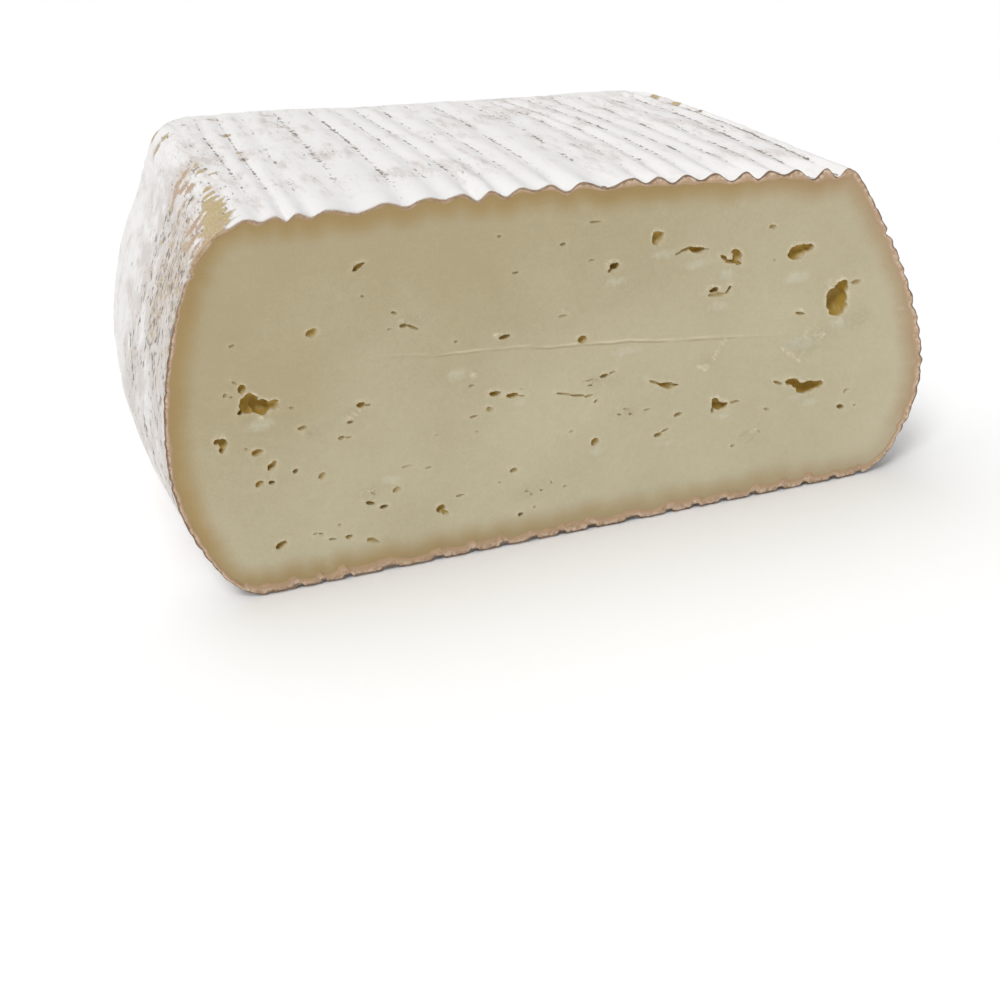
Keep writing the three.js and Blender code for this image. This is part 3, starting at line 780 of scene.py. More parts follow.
# The paste and its eyes
EYE_SET_BACK = (-0.4, 0.3)  # centre behind the cut as a share of its half depth, of a dent and of a bubble
EYE_GROWTH = (1.07, 1.15, 1.07)  # the lumps take some of each opening away again
EYE_LUMPS = 0.2  # height of the lumps as a share of the radius
EYE_BOXINESS = 0.92  # 1 is round, and less is a little square
EYE_LEAN = 0.3  # the bubbles lean up and to the left as they go deeper
PASTE_SET_BACK = 0.05 * MM  # the cut rind stands a little proud of the paste
LIP_WIDTH = 0.5  # of the sharp lips of the eyes, in millimetres as the next ones are
LIP_HEIGHT = 0.2
EYE_SLOPE = 0.6  # how far the gentle side of an eye slopes in
EYES_REACH = 9  # no eye reaches this far behind the cut
CURL_HEIGHT = 0.25
CUT_WAVE = 0.7  # broad unevenness of the cut face
DRAG = 0.12  # fine drag marks of the wire
SMEAR_DEPTH = 0.4
CRUMBLE_DEPTH = 0.45

# Faint line where two layers of curd met, with painted shade along it and a painted highlight above it:
# height at x = 0, fall to the right, its two ends, the step at the line, how far the line wanders each way,
# and how far above it the painted highlight lies
SEAM_HEIGHT = 50.1
SEAM_FALL = 0.118
SEAM_ENDS = (-48, 66)
SEAM_STEP = 0.05
SEAM_WANDER = 1.5
CREST_ABOVE = 0.6

# Places where the curd tore a little: x, z, half width, half height
CRUMBLED = (
    (66, 39, 6, 3), (71, 42, 4, 2.5), (39, 40, 3, 2.5), (-37, 63.5, 4, 1.5), (10, 40, 5, 2),
    (-53.5, 42.5, 3, 2), (-64, 40, 3, 1.5), (16, 30.5, 4, 2), (50, 17, 4, 2), (81, 44, 4, 3),
    (-52, 22, 3, 2), (-12, 14, 4, 2),
)

# Pale patches under the larger eyes, partly paste that the knife dragged out and partly a painted highlight
# on their dents: x, z, half width, half height
SMEARS = (
    (-76, 44, 5.5, 2.6), (16, 64.6, 4, 2), (45.2, 61.8, 3, 2.6), (38, 65.5, 6, 2), (43, 53.5, 5, 2),
    (76.5, 43.6, 6, 2.2), (73.6, 55, 2, 1.6), (64, 25.6, 5, 1.3), (67, 23.4, 5, 1.6), (42.5, 24.3, 4, 1.5),
    (17, 46, 6, 2), (-27, 48, 4, 2.4), (-12, 37.8, 4, 1.4), (64, 57.5, 7, 2.4), (29, 69.5, 5, 2),
    (-75, 31.3, 2, 1), (65, 40, 8, 2.6), (-46, 24, 4, 2), (26, 19.5, 4, 1.2), (8, 21, 4, 2),
)

# Small curls of paste that stand up, painted paler as a highlight: x, z, half width, half height in
# millimetres and turn
CURLS = (
    (62, 38, 1.5, 0.6, -20), (60, 39.6, 1.2, 0.3, -35), (38.5, 38.2, 1.2, 0.7, 20),
    (36.9, 38.7, 1, 0.4, -20), (41.6, 41.4, 2.6, 0.35, 55), (43.8, 44.4, 1.6, 0.35, 40),
    (-75.2, 45.9, 1.2, 0.6, -30), (-65.8, 40.5, 1.2, 0.5, 10), (-54.2, 42, 1.2, 0.7, 20),
    (-52.6, 43.2, 1.4, 0.4, 40), (46.2, 66, 0.9, 0.7, 0), (94.3, 44.5, 1.7, 0.4, -12),
    (71.4, 41.3, 1.2, 0.6, 30), (67, 42.6, 1.5, 0.35, 50), (64, 36, 1.8, 0.3, -40),
    (-38.4, 63.7, 1.2, 0.4, 10), (1.4, 59, 1.4, 0.4, 5), (-15.8, 56.4, 1.3, 0.4, 20),
    (65.6, 48.9, 1.6, 0.3, -20), (-22.6, 47.2, 1.2, 0.3, -10), (51.5, 18.4, 1.2, 0.4, 20),
    (59.3, 31.1, 1.1, 0.4, -10),
)


def spread(points, x, z, wide, high, turn=0):
    """Distance of points from a place in the cut face, as a share of its turned half sizes."""
    across = points[:, 0] / MM - x
    up = points[:, 2] / MM - z
    angle = math.radians(turn)
    long = (across * math.cos(angle) + up * math.sin(angle)) / wide
    short = (up * math.cos(angle) - across * math.sin(angle)) / high
    return np.hypot(long, short), across, up


def nearness(points, places, start, end):
    """How near points are to the closest of some places in the cut face."""
    near = np.zeros(len(points))
    for place in places:
        near = np.maximum(near, 1 - smoothstep(spread(points, *place)[0], start, end))
    return near


def add_eyes(face, levels):
    """Lumpy bubbles along the cut, gathered in a collection that the paste is cut with."""
    bubbles = bpy.data.collections.new("bubbles")
    bpy.context.scene.collection.children.link(bubbles)
    for number, (x, z, width, height, depth, turn) in enumerate(EYES):
        roundness = smoothstep(depth / min(width, height), 0.35, 0.8)
        set_back = lerp(*EYE_SET_BACK, roundness)
        opening = 2 * math.sqrt(1 - set_back ** 2)
        half_depth = depth / (1 + set_back)
        deselect()
        bpy.ops.mesh.primitive_ico_sphere_add(subdivisions=4 if width > 3 else 3, radius=1)
        bubble = bpy.context.object
        points = read_points(bubble.data)
        points = np.sign(points) * np.abs(points) ** EYE_BOXINESS
        points *= 1 + EYE_LUMPS * lumps(points, 0.8, number, 2)[:, None]
        points *= (width / opening, half_depth, height / opening)
        points *= EYE_GROWTH
        behind = points[:, 1] + set_back * half_depth
        points[:, 0] -= EYE_LEAN * behind
        points[:, 2] += EYE_LEAN * behind
        turned = Matrix.Rotation(-math.radians(turn), 3, "Y")
        points = points @ np.array(turned).T + (x, set_back * half_depth, z)
        level = levels[face.find((x * MM, 0, z * MM))[1]]
        write_points(bubble.data, points * MM + (0, level, 0))
        for owner in list(bubble.users_collection):
            owner.objects.unlink(bubble)
        bubbles.objects.link(bubble)
    return bubbles


def add_paste_box(sizes, rind, paste):
    """The paste as a coarse block with a fine front, still unshaped."""
    block = add_block("paste", sizes, PASTE_PARTS)
    edit(block, "polygons", at_front(block.data, 0)[1], bpy.ops.mesh.subdivide, number_cuts=paste.grain)
    place_stations(block, sizes)
    draw_in(block, PASTE_REACH, sizes, rind)
    return block


def eye_surrounds(places):
    """How far the paste sinks round the eyes, in millimetres, and how much painted highlight lies there.

    The upper left edge of an eye is a sharp lip, and the lower right edge slopes gently in. The lips and the
    curls are painted paler as a highlight, most along the upper edges.
    """
    sink = np.zeros(len(places))
    raised = np.zeros(len(places))
    pale = np.zeros(len(places))
    for x, z, width, height, depth, turn in EYES:
        away = np.hypot(places[:, 0] / MM - x, places[:, 2] / MM - z)
        near = np.flatnonzero(away < 1.5 * max(width, height) + 1)
        reach, across, up = spread(places[near], x, z, width / 2, height / 2, turn)
        away = np.maximum(np.hypot(across, up), 0.01)
        size = min(1, depth / 2)
        slope = smoothstep((across - up) / away, -0.2, 1.2)
        outside = (reach - 1) * min(width, height) / 2
        lip = np.exp(-(np.maximum(outside, 0) / LIP_WIDTH) ** 2) * smoothstep(reach, 0.7, 0.95)
        sunk = EYE_SLOPE * size * slope * (1 - smoothstep(reach, 0.8, 1.7))
        sink[near] = np.maximum(sink[near], sunk)
        raised[near] = np.maximum(raised[near], LIP_HEIGHT * size * (1 - slope) * lip)
        # painted highlight on the lip, strongest along the upper edge
        pale[near] = np.maximum(pale[near], lip * size * lerp(0.35, 1, smoothstep(up / away, -0.3, 0.7)))
    curl = nearness(places, CURLS, 0.2, 1.3)
    return sink - np.maximum(raised, CURL_HEIGHT * curl), np.maximum(pale, curl)


def find_rim(mesh):
    """Tree of the points along the outline of the front face."""
    front = at_front(mesh, CUT)[1]
    edge_count = {}
    for polygon in mesh.polygons:
        if front[polygon.index]:
            for key in polygon.edge_keys:
                edge_count[key] = edge_count.get(key, 0) + 1
    rim = sorted({end for key, count in edge_count.items() if count == 1 for end in key})
    tree = KDTree(len(rim))
    for index in rim:
        tree.insert(mesh.vertices[index].co, index)
    tree.balance()
    return tree


def above_seam(points):
    return points[:, 2] / MM + SEAM_FALL * points[:, 0] / MM - SEAM_HEIGHT


def along_seam(points):
    start, end = SEAM_ENDS
    x = points[:, 0] / MM
    return smoothstep(x, start, start + 20) * (1 - smoothstep(x, end - 30, end))


def soften_cut(mesh, tree):
    """The slight unevenness that a knife leaves in soft paste.

    Returns a flat tree of the front, and how far back each point lies.
    """
    points = read_points(mesh)
    front = np.flatnonzero(points[:, 1] < CUT + CLOSE)
    places = points[front]
    inside = np.array([tree.find(Vector(p))[2] for p in places])
    relief = CUT_WAVE * lumps(places, 24 * MM, 6, 2) + DRAG * lumps(places * (0.35, 1, 1), 3 * MM, 7, 2)
    above = above_seam(places)
    fall = np.exp(-np.maximum(above, 0) / 2.5)
    relief += SEAM_STEP * along_seam(places) * fall * smoothstep(above, -0.4, 0.4)
    for smear in SMEARS:
        relief += SMEAR_DEPTH * (1 - smoothstep(spread(places, *smear)[0], 0.1, 1.1))
    for place in CRUMBLED:
        torn = 1 - smoothstep(spread(places, *place)[0], 0.5, 1.2)
        relief += CRUMBLE_DEPTH * torn * lumps(places * (0.8, 1, 1.3), 2.6 * MM, 9, 2)
    relief += eye_surrounds(places)[0]
    points[front, 1] += PASTE_SET_BACK + relief * MM * smoothstep(inside, 0, 4 * MM)
    write_points(mesh, points)
    face = KDTree(len(front))
    for index in front:
        face.insert((points[index, 0], 0, points[index, 2]), index)
    face.balance()
    return face, points[:, 1]


def mark_paste(mesh, tree, face, levels):
    """Keeps how far each point lies from the rind and behind the cut, what the knife left there, and how lit
    the cut face is painted.
    """
    points = read_points(mesh)
    x, y, z = points.T / MM
    from_rind = np.array([tree.find(v.co)[2] / MM for v in mesh.vertices])
    ripeness = 1 - 0.25 * smoothstep(x, 70, 92)
    ripeness -= lerp(0.15, 0.4, smoothstep(x, -60, 40)) * (1 - smoothstep(z, 8, 20))
    behind = np.zeros(len(points))
    for index in np.flatnonzero((y < CUT / MM + EYES_REACH) & (from_rind > 0.6)):
        behind[index] = y[index] - levels[face.find((points[index, 0], 0, points[index, 2]))[1]] / MM
    front = 1 - smoothstep(behind, 0.15, 0.6)
    # Painted light: lighter towards the right and the base, darker towards the upper left, with blotches of
    # the paste's own tone
    light = 0.5 + 0.25 * x / 100 - 0.9 * (z / 90 - 0.5)
    write_values(
        mesh,
        from_rind=from_rind,
        ripeness=np.clip(ripeness, 0.35, 1),
        fresh=smoothstep(x, 40, 88),
        behind=behind,
        smeared=nearness(points, SMEARS, 0.1, 1.3) * front,
        lip=eye_surrounds(points)[1] * front,
        light=np.clip(light + 0.25 * lumps(points, 30 * MM, 11), 0, 1),
        torn=nearness(points, CRUMBLED, 0.2, 1.4) * front,
        seam=along_seam(points) * front,
    )


def cut_eyes(piece, bubbles):
    activate(piece)
    cut = piece.modifiers.new("eyes", "BOOLEAN")
    cut.operation = "DIFFERENCE"
    cut.operand_type = "COLLECTION"
    cut.solver = "MANIFOLD"
    cut.collection = bubbles
    bpy.ops.object.modifier_apply(modifier=cut.name)
    for bubble in list(bubbles.objects):
        mesh = bubble.data
        bpy.data.objects.remove(bubble)
        bpy.data.meshes.remove(mesh)
    bpy.data.collections.remove(bubbles)


# Materials. A noise has a name, a stretch along x, y and z, its count of grains in a millimetre, a
# detail and a roughness. A mask has a name, the field that it starts from, the fields that are added
# with their weights, the range that it takes, the values that it gives and the slope between them.
def new_tree(name):
    """A material with only its output, and its node tree."""
    material = bpy.data.materials.new(name)
    material.use_nodes = True
    material.node_tree.nodes.clear()
    return material, material.node_tree


def add_node(tree, kind, links=None, **settings):
    """Adds a node, sets it and fills or links its inputs; returns its first open output."""
    node = tree.nodes.new("ShaderNode" + kind)
    for name, value in settings.items():
        setattr(node, name, value)
    for name, value in (links or {}).items():
        named = [s for s in node.inputs if s.enabled and s.name == name]
        socket = node.inputs[name] if isinstance(name, int) else named[0]
        if isinstance(value, bpy.types.NodeSocket):
            tree.links.new(value, socket)
        else:
            socket.default_value = value
    return next((s for s in node.outputs if s.enabled), node)


def add_fields(tree, marks, noises):
    """The place in millimetres, the piece's own marks and some noises, by name."""
    here = add_node(tree, "TexCoord").node.outputs["Object"]
    fields = {"place": add_node(tree, "VectorMath", {0: here, "Scale": 1 / MM}, operation="SCALE")}
    for name in marks:
        fields[name] = add_node(tree, "Attribute", attribute_name=name).node.outputs["Fac"]
    for name, stretch, scale, detail, roughness in noises:
        drawn_out = add_node(tree, "VectorMath", {0: fields["place"], 1: stretch}, operation="MULTIPLY")
        fields[name] = add_node(tree, "TexNoise", {
            "Vector": drawn_out, "Scale": scale, "Detail": detail, "Roughness": roughness})
    return fields


def add_masks(tree, fields, masks):
    """Adds masks to the fields; a mask may start from one that stands before it."""
    for name, start, weights, takes, gives, slope in masks:
        level = fields[start]
        for added, weight in weights:
            level = add_node(tree, "Math", {0: fields[added], 1: weight, 2: level}, operation="MULTIPLY_ADD")
        fields[name] = add_node(tree, "MapRange", {
            "Value": level, "From Min": takes[0], "From Max": takes[1],
            "To Min": gives[0], "To Max": gives[1]}, interpolation_type=slope)


# On the top the pattern is drawn out from front to back, and on the walls it is coarser and even.
# The threads of real mould are about a tenth as wide as this fuzz, which is as coarse as shows.
BLOOM_MARKS = ("worn", "browned", "sideways", "line")
BLOOM_NOISES = (
    ("dash on top", (1, 0.2, 1), 1.1, 4, 0.62),
    ("dash on wall", (0.5, 0.22, 0.3), 1.1, 4, 0.62),
    ("veil on top", (1, 0.2, 1), 0.34, 6, 0.7),
    ("veil on wall", (0.5, 0.22, 0.3), 0.34, 6, 0.7),
    ("blotch", (1, 0.45, 1), 0.5, 7, 0.72),
    ("tint", (1, 0.45, 1), 0.3, 6, 0.7),
    ("stretch", (0.3, 0.08, 0.3), 1, 2, 0.6),
    ("dots", (0.75, 0.45, 0.75), 1, 3, 0.65),
    ("grit", (1, 1, 1), 1.5, 3, 0.6),
    ("fuzz", (1, 1, 1), 1.3, 4, 0.65),
)
BLOOM_MASKS = (
    ("thin", "veil", (("worn", 0.4), ("sideways", 0.08)), (0.58, 0.86), (0, 1), "SMOOTHSTEP"),
    ("stained", "tint", (("worn", 0.3), ("sideways", 0.05)), (0.76, 0.92), (0, 0.85), "SMOOTHSTEP"),
    ("bare", "blotch", (("worn", 0.9),), (1.2, 1.32), (0, 1), "SMOOTHSTEP"),
    ("dark", "dash", (("worn", 0.3), ("sideways", 0.025), ("bare", -0.24)), (0.74, 0.86), (0, 0.85),
     "SMOOTHSTEP"),
    ("crack", "line", (("stretch", 1.2), ("dots", 2), ("worn", 0.2)), (2.45, 2.85), (0, 1), "SMOOTHSTEP"),
    ("old", "tint", (("browned", 0.5),), (0.6, 0.85), (0, 1), "SMOOTHSTEP"),
    ("left over", "grit", (), (0.5, 0.72), (0, 0.7), "LINEAR"),
)
PIT_EDGE = 0.4  # the grit widens a pit by about this much, in millimetres, so it is taken off first
PIT_CORE = 0.4  # share of its radius over which a pit is darkest


def bloomy_rind(rind):
    """Natural bloomy rind: a thin skin under dense white mould, pressed by a draining mat.

    The mould is matt and softly fuzzy. Where it is worn it is broken by small dark gaps, along the
    bottoms of the grooves by dotted lines, and at the worst places the tan skin lies bare.
    """
    material, tree = new_tree("bloomy_rind")
    fields = add_fields(tree, BLOOM_MARKS, BLOOM_NOISES)
    for name in ("dash", "veil"):
        fields[name] = add_node(tree, "Mix", {
            "Factor": fields["sideways"], "A": fields[name + " on top"], "B": fields[name + " on wall"]})
    add_masks(tree, fields, BLOOM_MASKS)
    for *place, radius in PITS:
        off = add_node(tree, "VectorMath", {0: fields["place"], 1: place}, operation="DISTANCE")
        off = add_node(tree, "Math", {0: fields["grit"], 1: -1, 2: off}, operation="MULTIPLY_ADD")
        pit = add_node(tree, "MapRange", {
            "Value": off, "From Min": radius - PIT_EDGE, "From Max": PIT_CORE * radius - PIT_EDGE,
            "To Max": 1.3})
        fields["dark"] = add_node(
            tree, "Math", {0: fields["dark"], 1: pit}, operation="MAXIMUM", use_clamp=True)

    # Bare skin is mottled, and a little bloom stays on it
    skin = rind.tan_skin
    for name, layer in (("old", rind.brown_skin), ("left over", rind.thin_bloom)):
        skin = add_node(tree, "Mix", {"Factor": fields[name], "A": skin, "B": layer}, data_type="RGBA")
    colour = rind.bloom
    for name, layer in (
        ("thin", rind.thin_bloom), ("stained", rind.stain), ("bare", skin), ("crack", rind.groove_line),
        ("dark", rind.speck),
    ):
        colour = add_node(tree, "Mix", {"Factor": fields[name], "A": colour, "B": layer}, data_type="RGBA")

    height = fields["fuzz"]
    for name, weight in (("bare", -0.6), ("dark", -0.5), ("crack", -0.4)):
        height = add_node(tree, "Math", {0: fields[name], 1: weight, 2: height}, operation="MULTIPLY_ADD")
    relief = add_node(tree, "Bump", {"Height": height, "Strength": 0.5, "Distance": 0.25 * MM})
    surface = add_node(tree, "BsdfPrincipled", {
        "Base Color": colour, "Normal": relief, "Roughness": 0.85, "IOR": 1.45,
        "Specular IOR Level": 0.25, "Sheen Weight": 0.15, "Sheen Roughness": 0.5,
        "Subsurface Weight": 0.3, "Subsurface Radius": (1, 0.9, 0.8), "Subsurface Scale": 1.2 * MM,
    })
    add_node(tree, "OutputMaterial", {"Surface": surface})
    return material


# From the outer edge inwards: bloom or bare skin where the line is faint, the line, and the band
CUT_MARKS = ("inwards", "across", "outline", "worn")
CUT_NOISES = (("crumb", (1, 1, 1), 0.9, 4, 0.6), ("long", (1, 1, 1), 0.22, 3, 0.6))
CUT_WOBBLE = (("crumb", 0.6), ("long", 0.9), ("outline", 0.8))
CUT_MASKS = (
    ("outermost", "inwards", CUT_WOBBLE, (1.2, 1.4), (1, 0), "LINEAR"),
    ("line", "inwards", CUT_WOBBLE, (1.75, 2.1), (1, 0), "SMOOTHSTEP"),
    ("inner", "across", (("crumb", 0.8),), (0.8, 1.3), (0, 1), "SMOOTHSTEP"),
    ("fleck", "crumb", (), (0.42, 0.6), (0, 1), "LINEAR"),
    ("bare", "worn", (), (0.7, 0.95), (0, 1), "LINEAR"),
)


def cut_rind(rind):
    """The cut edge of the rind: a moist pinkish tan band with a broken brown line near its outer edge."""
    material, tree = new_tree("cut_rind")
    fields = add_fields(tree, CUT_MARKS, CUT_NOISES)
    add_masks(tree, fields, CUT_MASKS)
    broken = add_node(tree, "Math", {0: fields["long"], 1: 0.8, 2: 0.6}, operation="MULTIPLY_ADD")
    line = add_node(tree, "Math", {0: fields["line"], 1: broken}, operation="MULTIPLY")
    fields["line"] = add_node(
        tree, "Math", {0: line, 1: fields["outline"]}, operation="MULTIPLY", use_clamp=True)
    edge = add_node(
        tree, "Mix", {"Factor": fields["bare"], "A": rind.bloom, "B": rind.tan_skin}, data_type="RGBA")
    colour = rind.cut_shade
    for name, layer in (
        ("fleck", rind.cut_skin), ("inner", rind.cut_inside), ("line", rind.cut_line), ("outermost", edge),
    ):
        colour = add_node(tree, "Mix", {"Factor": fields[name], "A": colour, "B": layer}, data_type="RGBA")
    relief = add_node(tree, "Bump", {"Height": fields["crumb"], "Strength": 0.6, "Distance": 0.3 * MM})
    surface = add_node(tree, "BsdfPrincipled", {
        "Base Color": colour, "Normal": relief, "Roughness": 0.55, "IOR": 1.42,
        "Subsurface Weight": 0.2, "Subsurface Radius": (1, 0.7, 0.4), "Subsurface Scale": 1.2 * MM,
    })
    add_node(tree, "OutputMaterial", {"Surface": surface})
    return material


PASTE_MARKS = ("from_rind", "ripeness", "fresh", "behind", "smeared", "lip", "light", "torn", "seam")
PASTE_NOISES = (
    ("cloud", (1, 1, 1), 0.05, 3, 0.5),
    ("dragged", (0.12, 1, 1), 0.7, 4, 0.6),
    ("curd", (1, 1, 1), 1.6, 4, 0.6),
)
FLAKE_SCALE = 0.45
PASTE_MASKS = (
    # the ripe zone fades out about 7 mm under the rind, and is narrower and blotchy where it is fresh
    ("ripe", "from_rind", (("cloud", -4), ("uneven", -3), ("fresh", 2.4)), (-1.5, 4.8), (1, 0),
     "SMOOTHSTEP"),
    # the eye walls are painted darker with depth: partly their own colour, partly painted shade in the
    # hollows
    ("hollow", "behind", (), (0.05, 1), (0, 1), "SMOOTHSTEP"),
    # the seam is a hairline that wanders a little, darkened as painted shade under its step, with a painted
    # highlight along the edge above it
    ("hairline_shade", "off seam", (), (0.05, 0.35), (0.6, 0), "LINEAR"),
    ("crest", "off crest", (), (0.05, 0.45), (0.35, 0), "LINEAR"),
    ("broken", "dragged", (), (0.38, 0.6), (0, 1), "LINEAR"),
    # the smears, tears and lips that the knife left; the paler smears, flakes and lips are partly painted
    # highlight
    ("soft", "smeared flake", (), (0.15, 0.6), (0, 0.5), "SMOOTHSTEP"),
    ("flaky", "flake", (), (0.52, 0.68), (0, 1), "SMOOTHSTEP"),
    ("ragged", "curd", (), (0.34, 0.56), (0, 0.75), "LINEAR"),
)


def soft_paste(paste):
    """Soft-ripened cheese paste, cut with a wire: smooth, moist and slightly translucent.

    It ripens to tan under the rind, and the walls of the eyes are moist and olive-brown, painted darker
    with depth as painted shade. The face is painted lighter towards the right and the base as painted light,
    and its smears, lips, curls and the edge above the seam carry a painted highlight.
    """
    material, tree = new_tree("soft_paste")
    fields = add_fields(tree, PASTE_MARKS, PASTE_NOISES)
    fields["flake"] = add_node(tree, "TexNoise", {
        "Vector": fields["place"], "Scale": FLAKE_SCALE, "Detail": 4, "Roughness": 0.55, "Distortion": 1})
    above = add_node(
        tree, "VectorMath", {0: fields["place"], 1: (SEAM_FALL, 0, 1)}, operation="DOT_PRODUCT")
    above = add_node(tree, "Math", {0: above, 1: SEAM_HEIGHT}, operation="SUBTRACT")
    above = add_node(tree, "Math", {0: fields["cloud"], 1: 3, 2: above}, operation="MULTIPLY_ADD")
    for name, offset in (("off seam", SEAM_WANDER), ("off crest", SEAM_WANDER + CREST_ABOVE)):
        off = add_node(tree, "Math", {0: above, 1: offset}, operation="SUBTRACT")
        fields[name] = add_node(tree, "Math", {0: off}, operation="ABSOLUTE")
    for name, first, second in (("uneven", "flake", "fresh"), ("smeared flake", "smeared", "flake")):
        fields[name] = add_node(tree, "Math", {0: fields[first], 1: fields[second]}, operation="MULTIPLY")
    add_masks(tree, fields, PASTE_MASKS)
    for name, first, second in (
        ("ripe", "ripe", "ripeness"), ("seam", "seam", "broken"), ("hairline_shade", "hairline_shade", "seam"),
        ("crest", "crest", "seam"), ("flaky", "torn", "flaky"), ("pale", "lip", "ragged"),
    ):
        fields[name] = add_node(tree, "Math", {0: fields[first], 1: fields[second]}, operation="MULTIPLY")
    # painted highlight: on the lips, the flakes and the edge above the seam
    pale = add_node(tree, "Math", {0: fields["flaky"], 1: 0.3, 2: fields["pale"]}, operation="MULTIPLY_ADD")
    fields["pale"] = add_node(
        tree, "Math", {0: pale, 1: fields["crest"]}, operation="MAXIMUM", use_clamp=True)

    # Painted light: the paste goes from its painted shade to its lit colour, broken by its own mottling
    light = fields["light"]
    for name in ("flake", "curd"):
        light = add_node(tree, "Math", {0: fields[name], 1: 0.5, 2: light}, operation="MULTIPLY_ADD")
    fields["light"] = add_node(tree, "Math", {0: light, 1: 0.5}, operation="SUBTRACT", use_clamp=True)
    rim = add_node(
        tree, "Mix", {"Factor": fields["fresh"], "A": paste.ripe, "B": paste.fresh}, data_type="RGBA")
    # over the painted light lie the smears with their painted highlight, the seam's painted shade, the
    # painted highlight of lips and flakes, the ripe rim, and the eye walls darkened with depth as painted
    # shade
    colour = paste.shaded
    for name, layer in (
        ("light", paste.lit_ivory), ("soft", paste.smeared), ("hairline_shade", paste.seam), ("pale", paste.lip),
        ("ripe", rim), ("hollow", paste.hollow),
    ):
        colour = add_node(tree, "Mix", {"Factor": fields[name], "A": colour, "B": layer}, data_type="RGBA")

    rough = add_node(tree, "Math", {0: fields["torn"], 1: 2, 2: 0.7}, operation="MULTIPLY_ADD")
    height = fields["dragged"]
    for name, weight in (("curd", rough), ("flaky", 2), ("hairline_shade", -1)):
        height = add_node(tree, "Math", {0: fields[name], 1: weight, 2: height}, operation="MULTIPLY_ADD")
    relief = add_node(tree, "Bump", {"Height": height, "Strength": 0.6, "Distance": 0.25 * MM})
    surface = add_node(tree, "BsdfPrincipled", {
        "Base Color": colour, "Normal": relief, "Roughness": 0.42, "IOR": 1.44,
        "Subsurface Weight": 0.25, "Subsurface Radius": (1, 0.8, 0.45), "Subsurface Scale": 2 * MM,
    })
    add_node(tree, "OutputMaterial", {"Surface": surface})
    return material


SMOOTH_UNDER = math.radians(40)  # sharper edges stay sharp


def finish_piece(piece):
    """Smooths a piece, moves it over the frame's origin and ties it to the frame."""
    write_points(piece.data, read_points(piece.data) - (MIDDLE, 0, 0))
    activate(piece)
    bpy.ops.object.mode_set(mode="EDIT")
    bpy.ops.object.mode_set(mode="OBJECT")
    bpy.ops.object.shade_smooth_by_angle(angle=SMOOTH_UNDER)
    for name in ("ridge", "outside", "skin"):
        if name in piece.data.attributes:
            piece.data.attributes.remove(piece.data.attributes[name])
    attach(piece, "root")
    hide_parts("cheese_half")


class CHEESE_OT_rind(bpy.types.Operator):
    """Adds the bloomy rind with its ridges and its cut rim"""
    bl_idname = "cheese.rind"
    bl_label = "Rind"

    def execute(self, context):
        sizes = context.scene.cheese_block
        rind = context.scene.cheese_rind
        piece = add_rind_box(sizes, rind)
        shape(piece, sizes)
        roughen_rind(piece, sizes)
        mesh = piece.data
        mesh.materials.append(bloomy_rind(rind))
        mesh.materials.append(cut_rind(rind))
        skin = read_values(mesh, "skin")
        for polygon in mesh.polygons:
            polygon.material_index = int(min(skin[i] for i in polygon.vertices) < 0.5)
        finish_piece(piece)
        return {"FINISHED"}


class CHEESE_OT_paste(bpy.types.Operator):
    """Adds the soft paste with its eyes"""
    bl_idname = "cheese.paste"
    bl_label = "Paste"

    def execute(self, context):
        sizes = context.scene.cheese_block
        paste = context.scene.cheese_paste
        piece = add_paste_box(sizes, context.scene.cheese_rind, paste)
        shape(piece, sizes)
        tree = find_rim(piece.data)
        face, levels = soften_cut(piece.data, tree)
        cut_eyes(piece, add_eyes(face, levels))
        mark_paste(piece.data, tree, face, levels)
        piece.data.materials.clear()
        piece.data.materials.append(soft_paste(paste))
        finish_piece(piece)
        return {"FINISHED"}


# The camera of the photograph, in metres and degrees
CAMERA_PLACE = (-0.11862, -0.46404, 0.18151)
CAMERA_HEADING = 14.566  # from +Y towards +X
CAMERA_DOWN = 23.082
CAMERA_ROLL = 5.318  # the right side dips
CAMERA_LENS = 60.99  # in millimetres, as the sensor is
CAMERA_SENSOR = 36
CAMERA_NEAR = 10 * MM

WHITE = "#ffffff"
FLOOR_SIZE = 12
FLOOR_DROP = 0.2 * MM  # under the base, so that the two never share a plane
WORLD = 0.15

# Broad studio lights: name, heading from -Y towards +X, rise and spread in degrees, and strength
LIGHTS = (
    ("overhead", 200, 72, 70, 1.78),
    ("front", -32, 52, 20, 1.22),
    ("left", -100, 20, 50, 0.3),
)


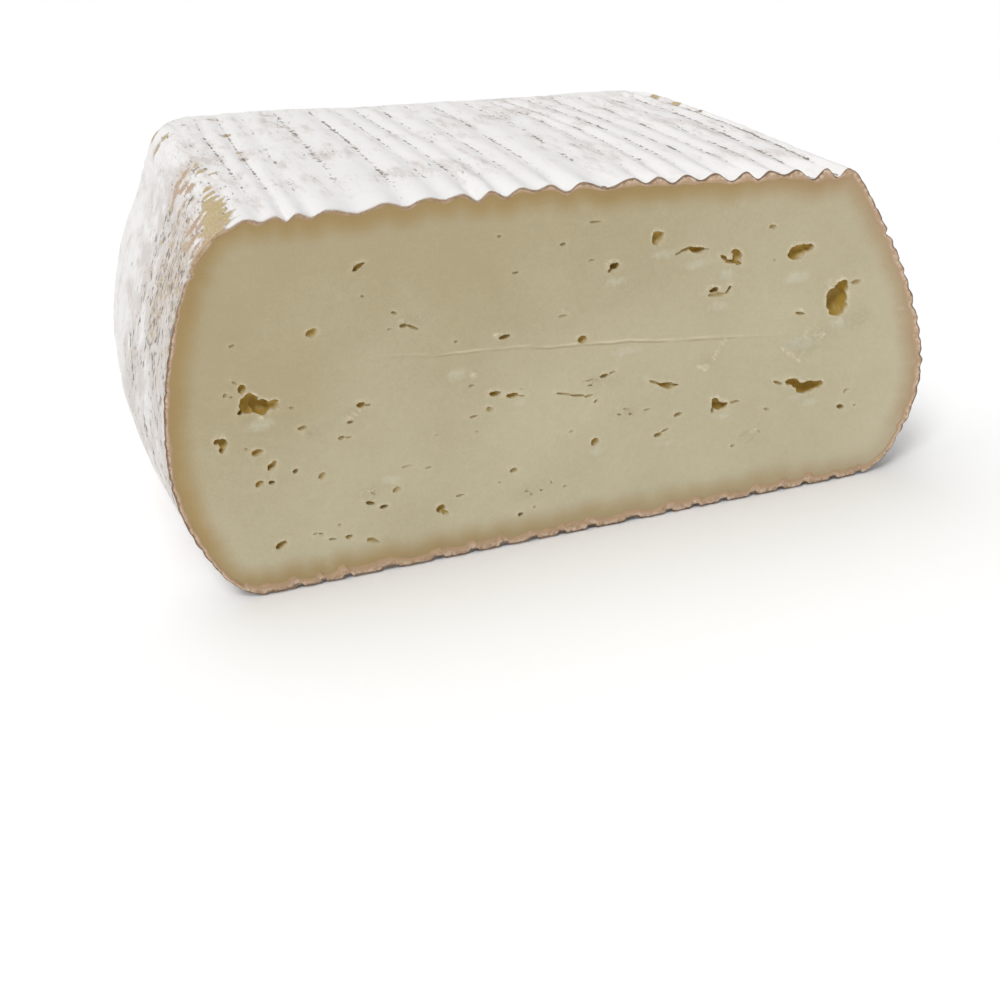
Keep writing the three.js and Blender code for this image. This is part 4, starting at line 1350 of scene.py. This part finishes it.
class CHEESE_OT_stage(bpy.types.Operator):
    """Adds the pale floor, the soft studio light and the camera"""
    bl_idname = "cheese.stage"
    bl_label = "Stage"

    def execute(self, context):
        deselect()
        bpy.ops.mesh.primitive_plane_add(size=FLOOR_SIZE, location=(0, 0, -FLOOR_DROP))
        floor = context.object
        floor.name = "floor"
        # A studio floor painted matt white
        material, tree = new_tree("white_floor")
        surface = add_node(tree, "BsdfPrincipled", {
            "Base Color": to_linear(WHITE), "Roughness": 0.9, "Specular IOR Level": 0.1})
        add_node(tree, "OutputMaterial", {"Surface": surface})
        floor.data.materials.append(material)

        world = bpy.data.worlds.new("studio")
        world.use_nodes = True
        world.node_tree.nodes.clear()
        sky = add_node(world.node_tree, "Background", {"Color": to_linear(WHITE), "Strength": WORLD})
        add_node(world.node_tree, "OutputWorld", {"Surface": sky})
        context.scene.world = world
        context.scene.view_settings.view_transform = "Standard"

        for name, heading, rise, spread, strength in LIGHTS:
            deselect()
            turn = (math.radians(90 - rise), 0, math.radians(heading))
            bpy.ops.object.light_add(type="SUN", location=(0, 0, 1), rotation=turn)
            light = context.object
            light.name = name
            light.data.angle = math.radians(spread)
            light.data.energy = strength

        down = math.radians(90 - CAMERA_DOWN)
        turn = Matrix.Rotation(-math.radians(CAMERA_HEADING), 3, "Z") @ Matrix.Rotation(down, 3, "X")
        turn = turn @ Matrix.Rotation(-math.radians(CAMERA_ROLL), 3, "Z")
        bpy.ops.object.camera_add(location=CAMERA_PLACE, rotation=turn.to_euler())
        camera = context.object
        camera.data.sensor_width = CAMERA_SENSOR
        camera.data.lens = CAMERA_LENS
        camera.data.clip_start = CAMERA_NEAR
        context.scene.camera = camera
        return {"FINISHED"}


class CHEESE_PT_sidebar(bpy.types.Panel):
    """Lists the pieces of the half cheese"""
    bl_idname = "CHEESE_PT_sidebar"
    bl_label = "Half cheese"
    bl_space_type = "VIEW_3D"
    bl_region_type = "UI"
    bl_category = "Cheese"

    def draw(self, context):
        for group in (context.scene.cheese_block, context.scene.cheese_rind, context.scene.cheese_paste):
            box = self.layout.box()
            for name in group.bl_rna.properties.keys():
                if name not in ("rna_type", "name"):
                    box.prop(group, name)
        for operator in OPERATORS:
            self.layout.operator(operator.bl_idname)


GROUPS = {"cheese_block": BlockSizes, "cheese_rind": RindSizes, "cheese_paste": PasteSizes}
OPERATORS = (CHEESE_OT_rind, CHEESE_OT_paste, CHEESE_OT_stage)


def register():
    for name, group in GROUPS.items():
        bpy.utils.register_class(group)
        setattr(bpy.types.Scene, name, PointerProperty(type=group))
    for kind in (*OPERATORS, CHEESE_PT_sidebar):
        bpy.utils.register_class(kind)


def unregister():
    for kind in (CHEESE_PT_sidebar, *OPERATORS):
        bpy.utils.unregister_class(kind)
    for name, group in GROUPS.items():
        delattr(bpy.types.Scene, name)
        bpy.utils.unregister_class(group)


def main():
    register()
    bpy.ops.cheese.stage()
    bpy.ops.cheese.rind()
    bpy.ops.cheese.paste()
    bpy.context.view_layer.update()


if __name__ == "__main__":
    main()
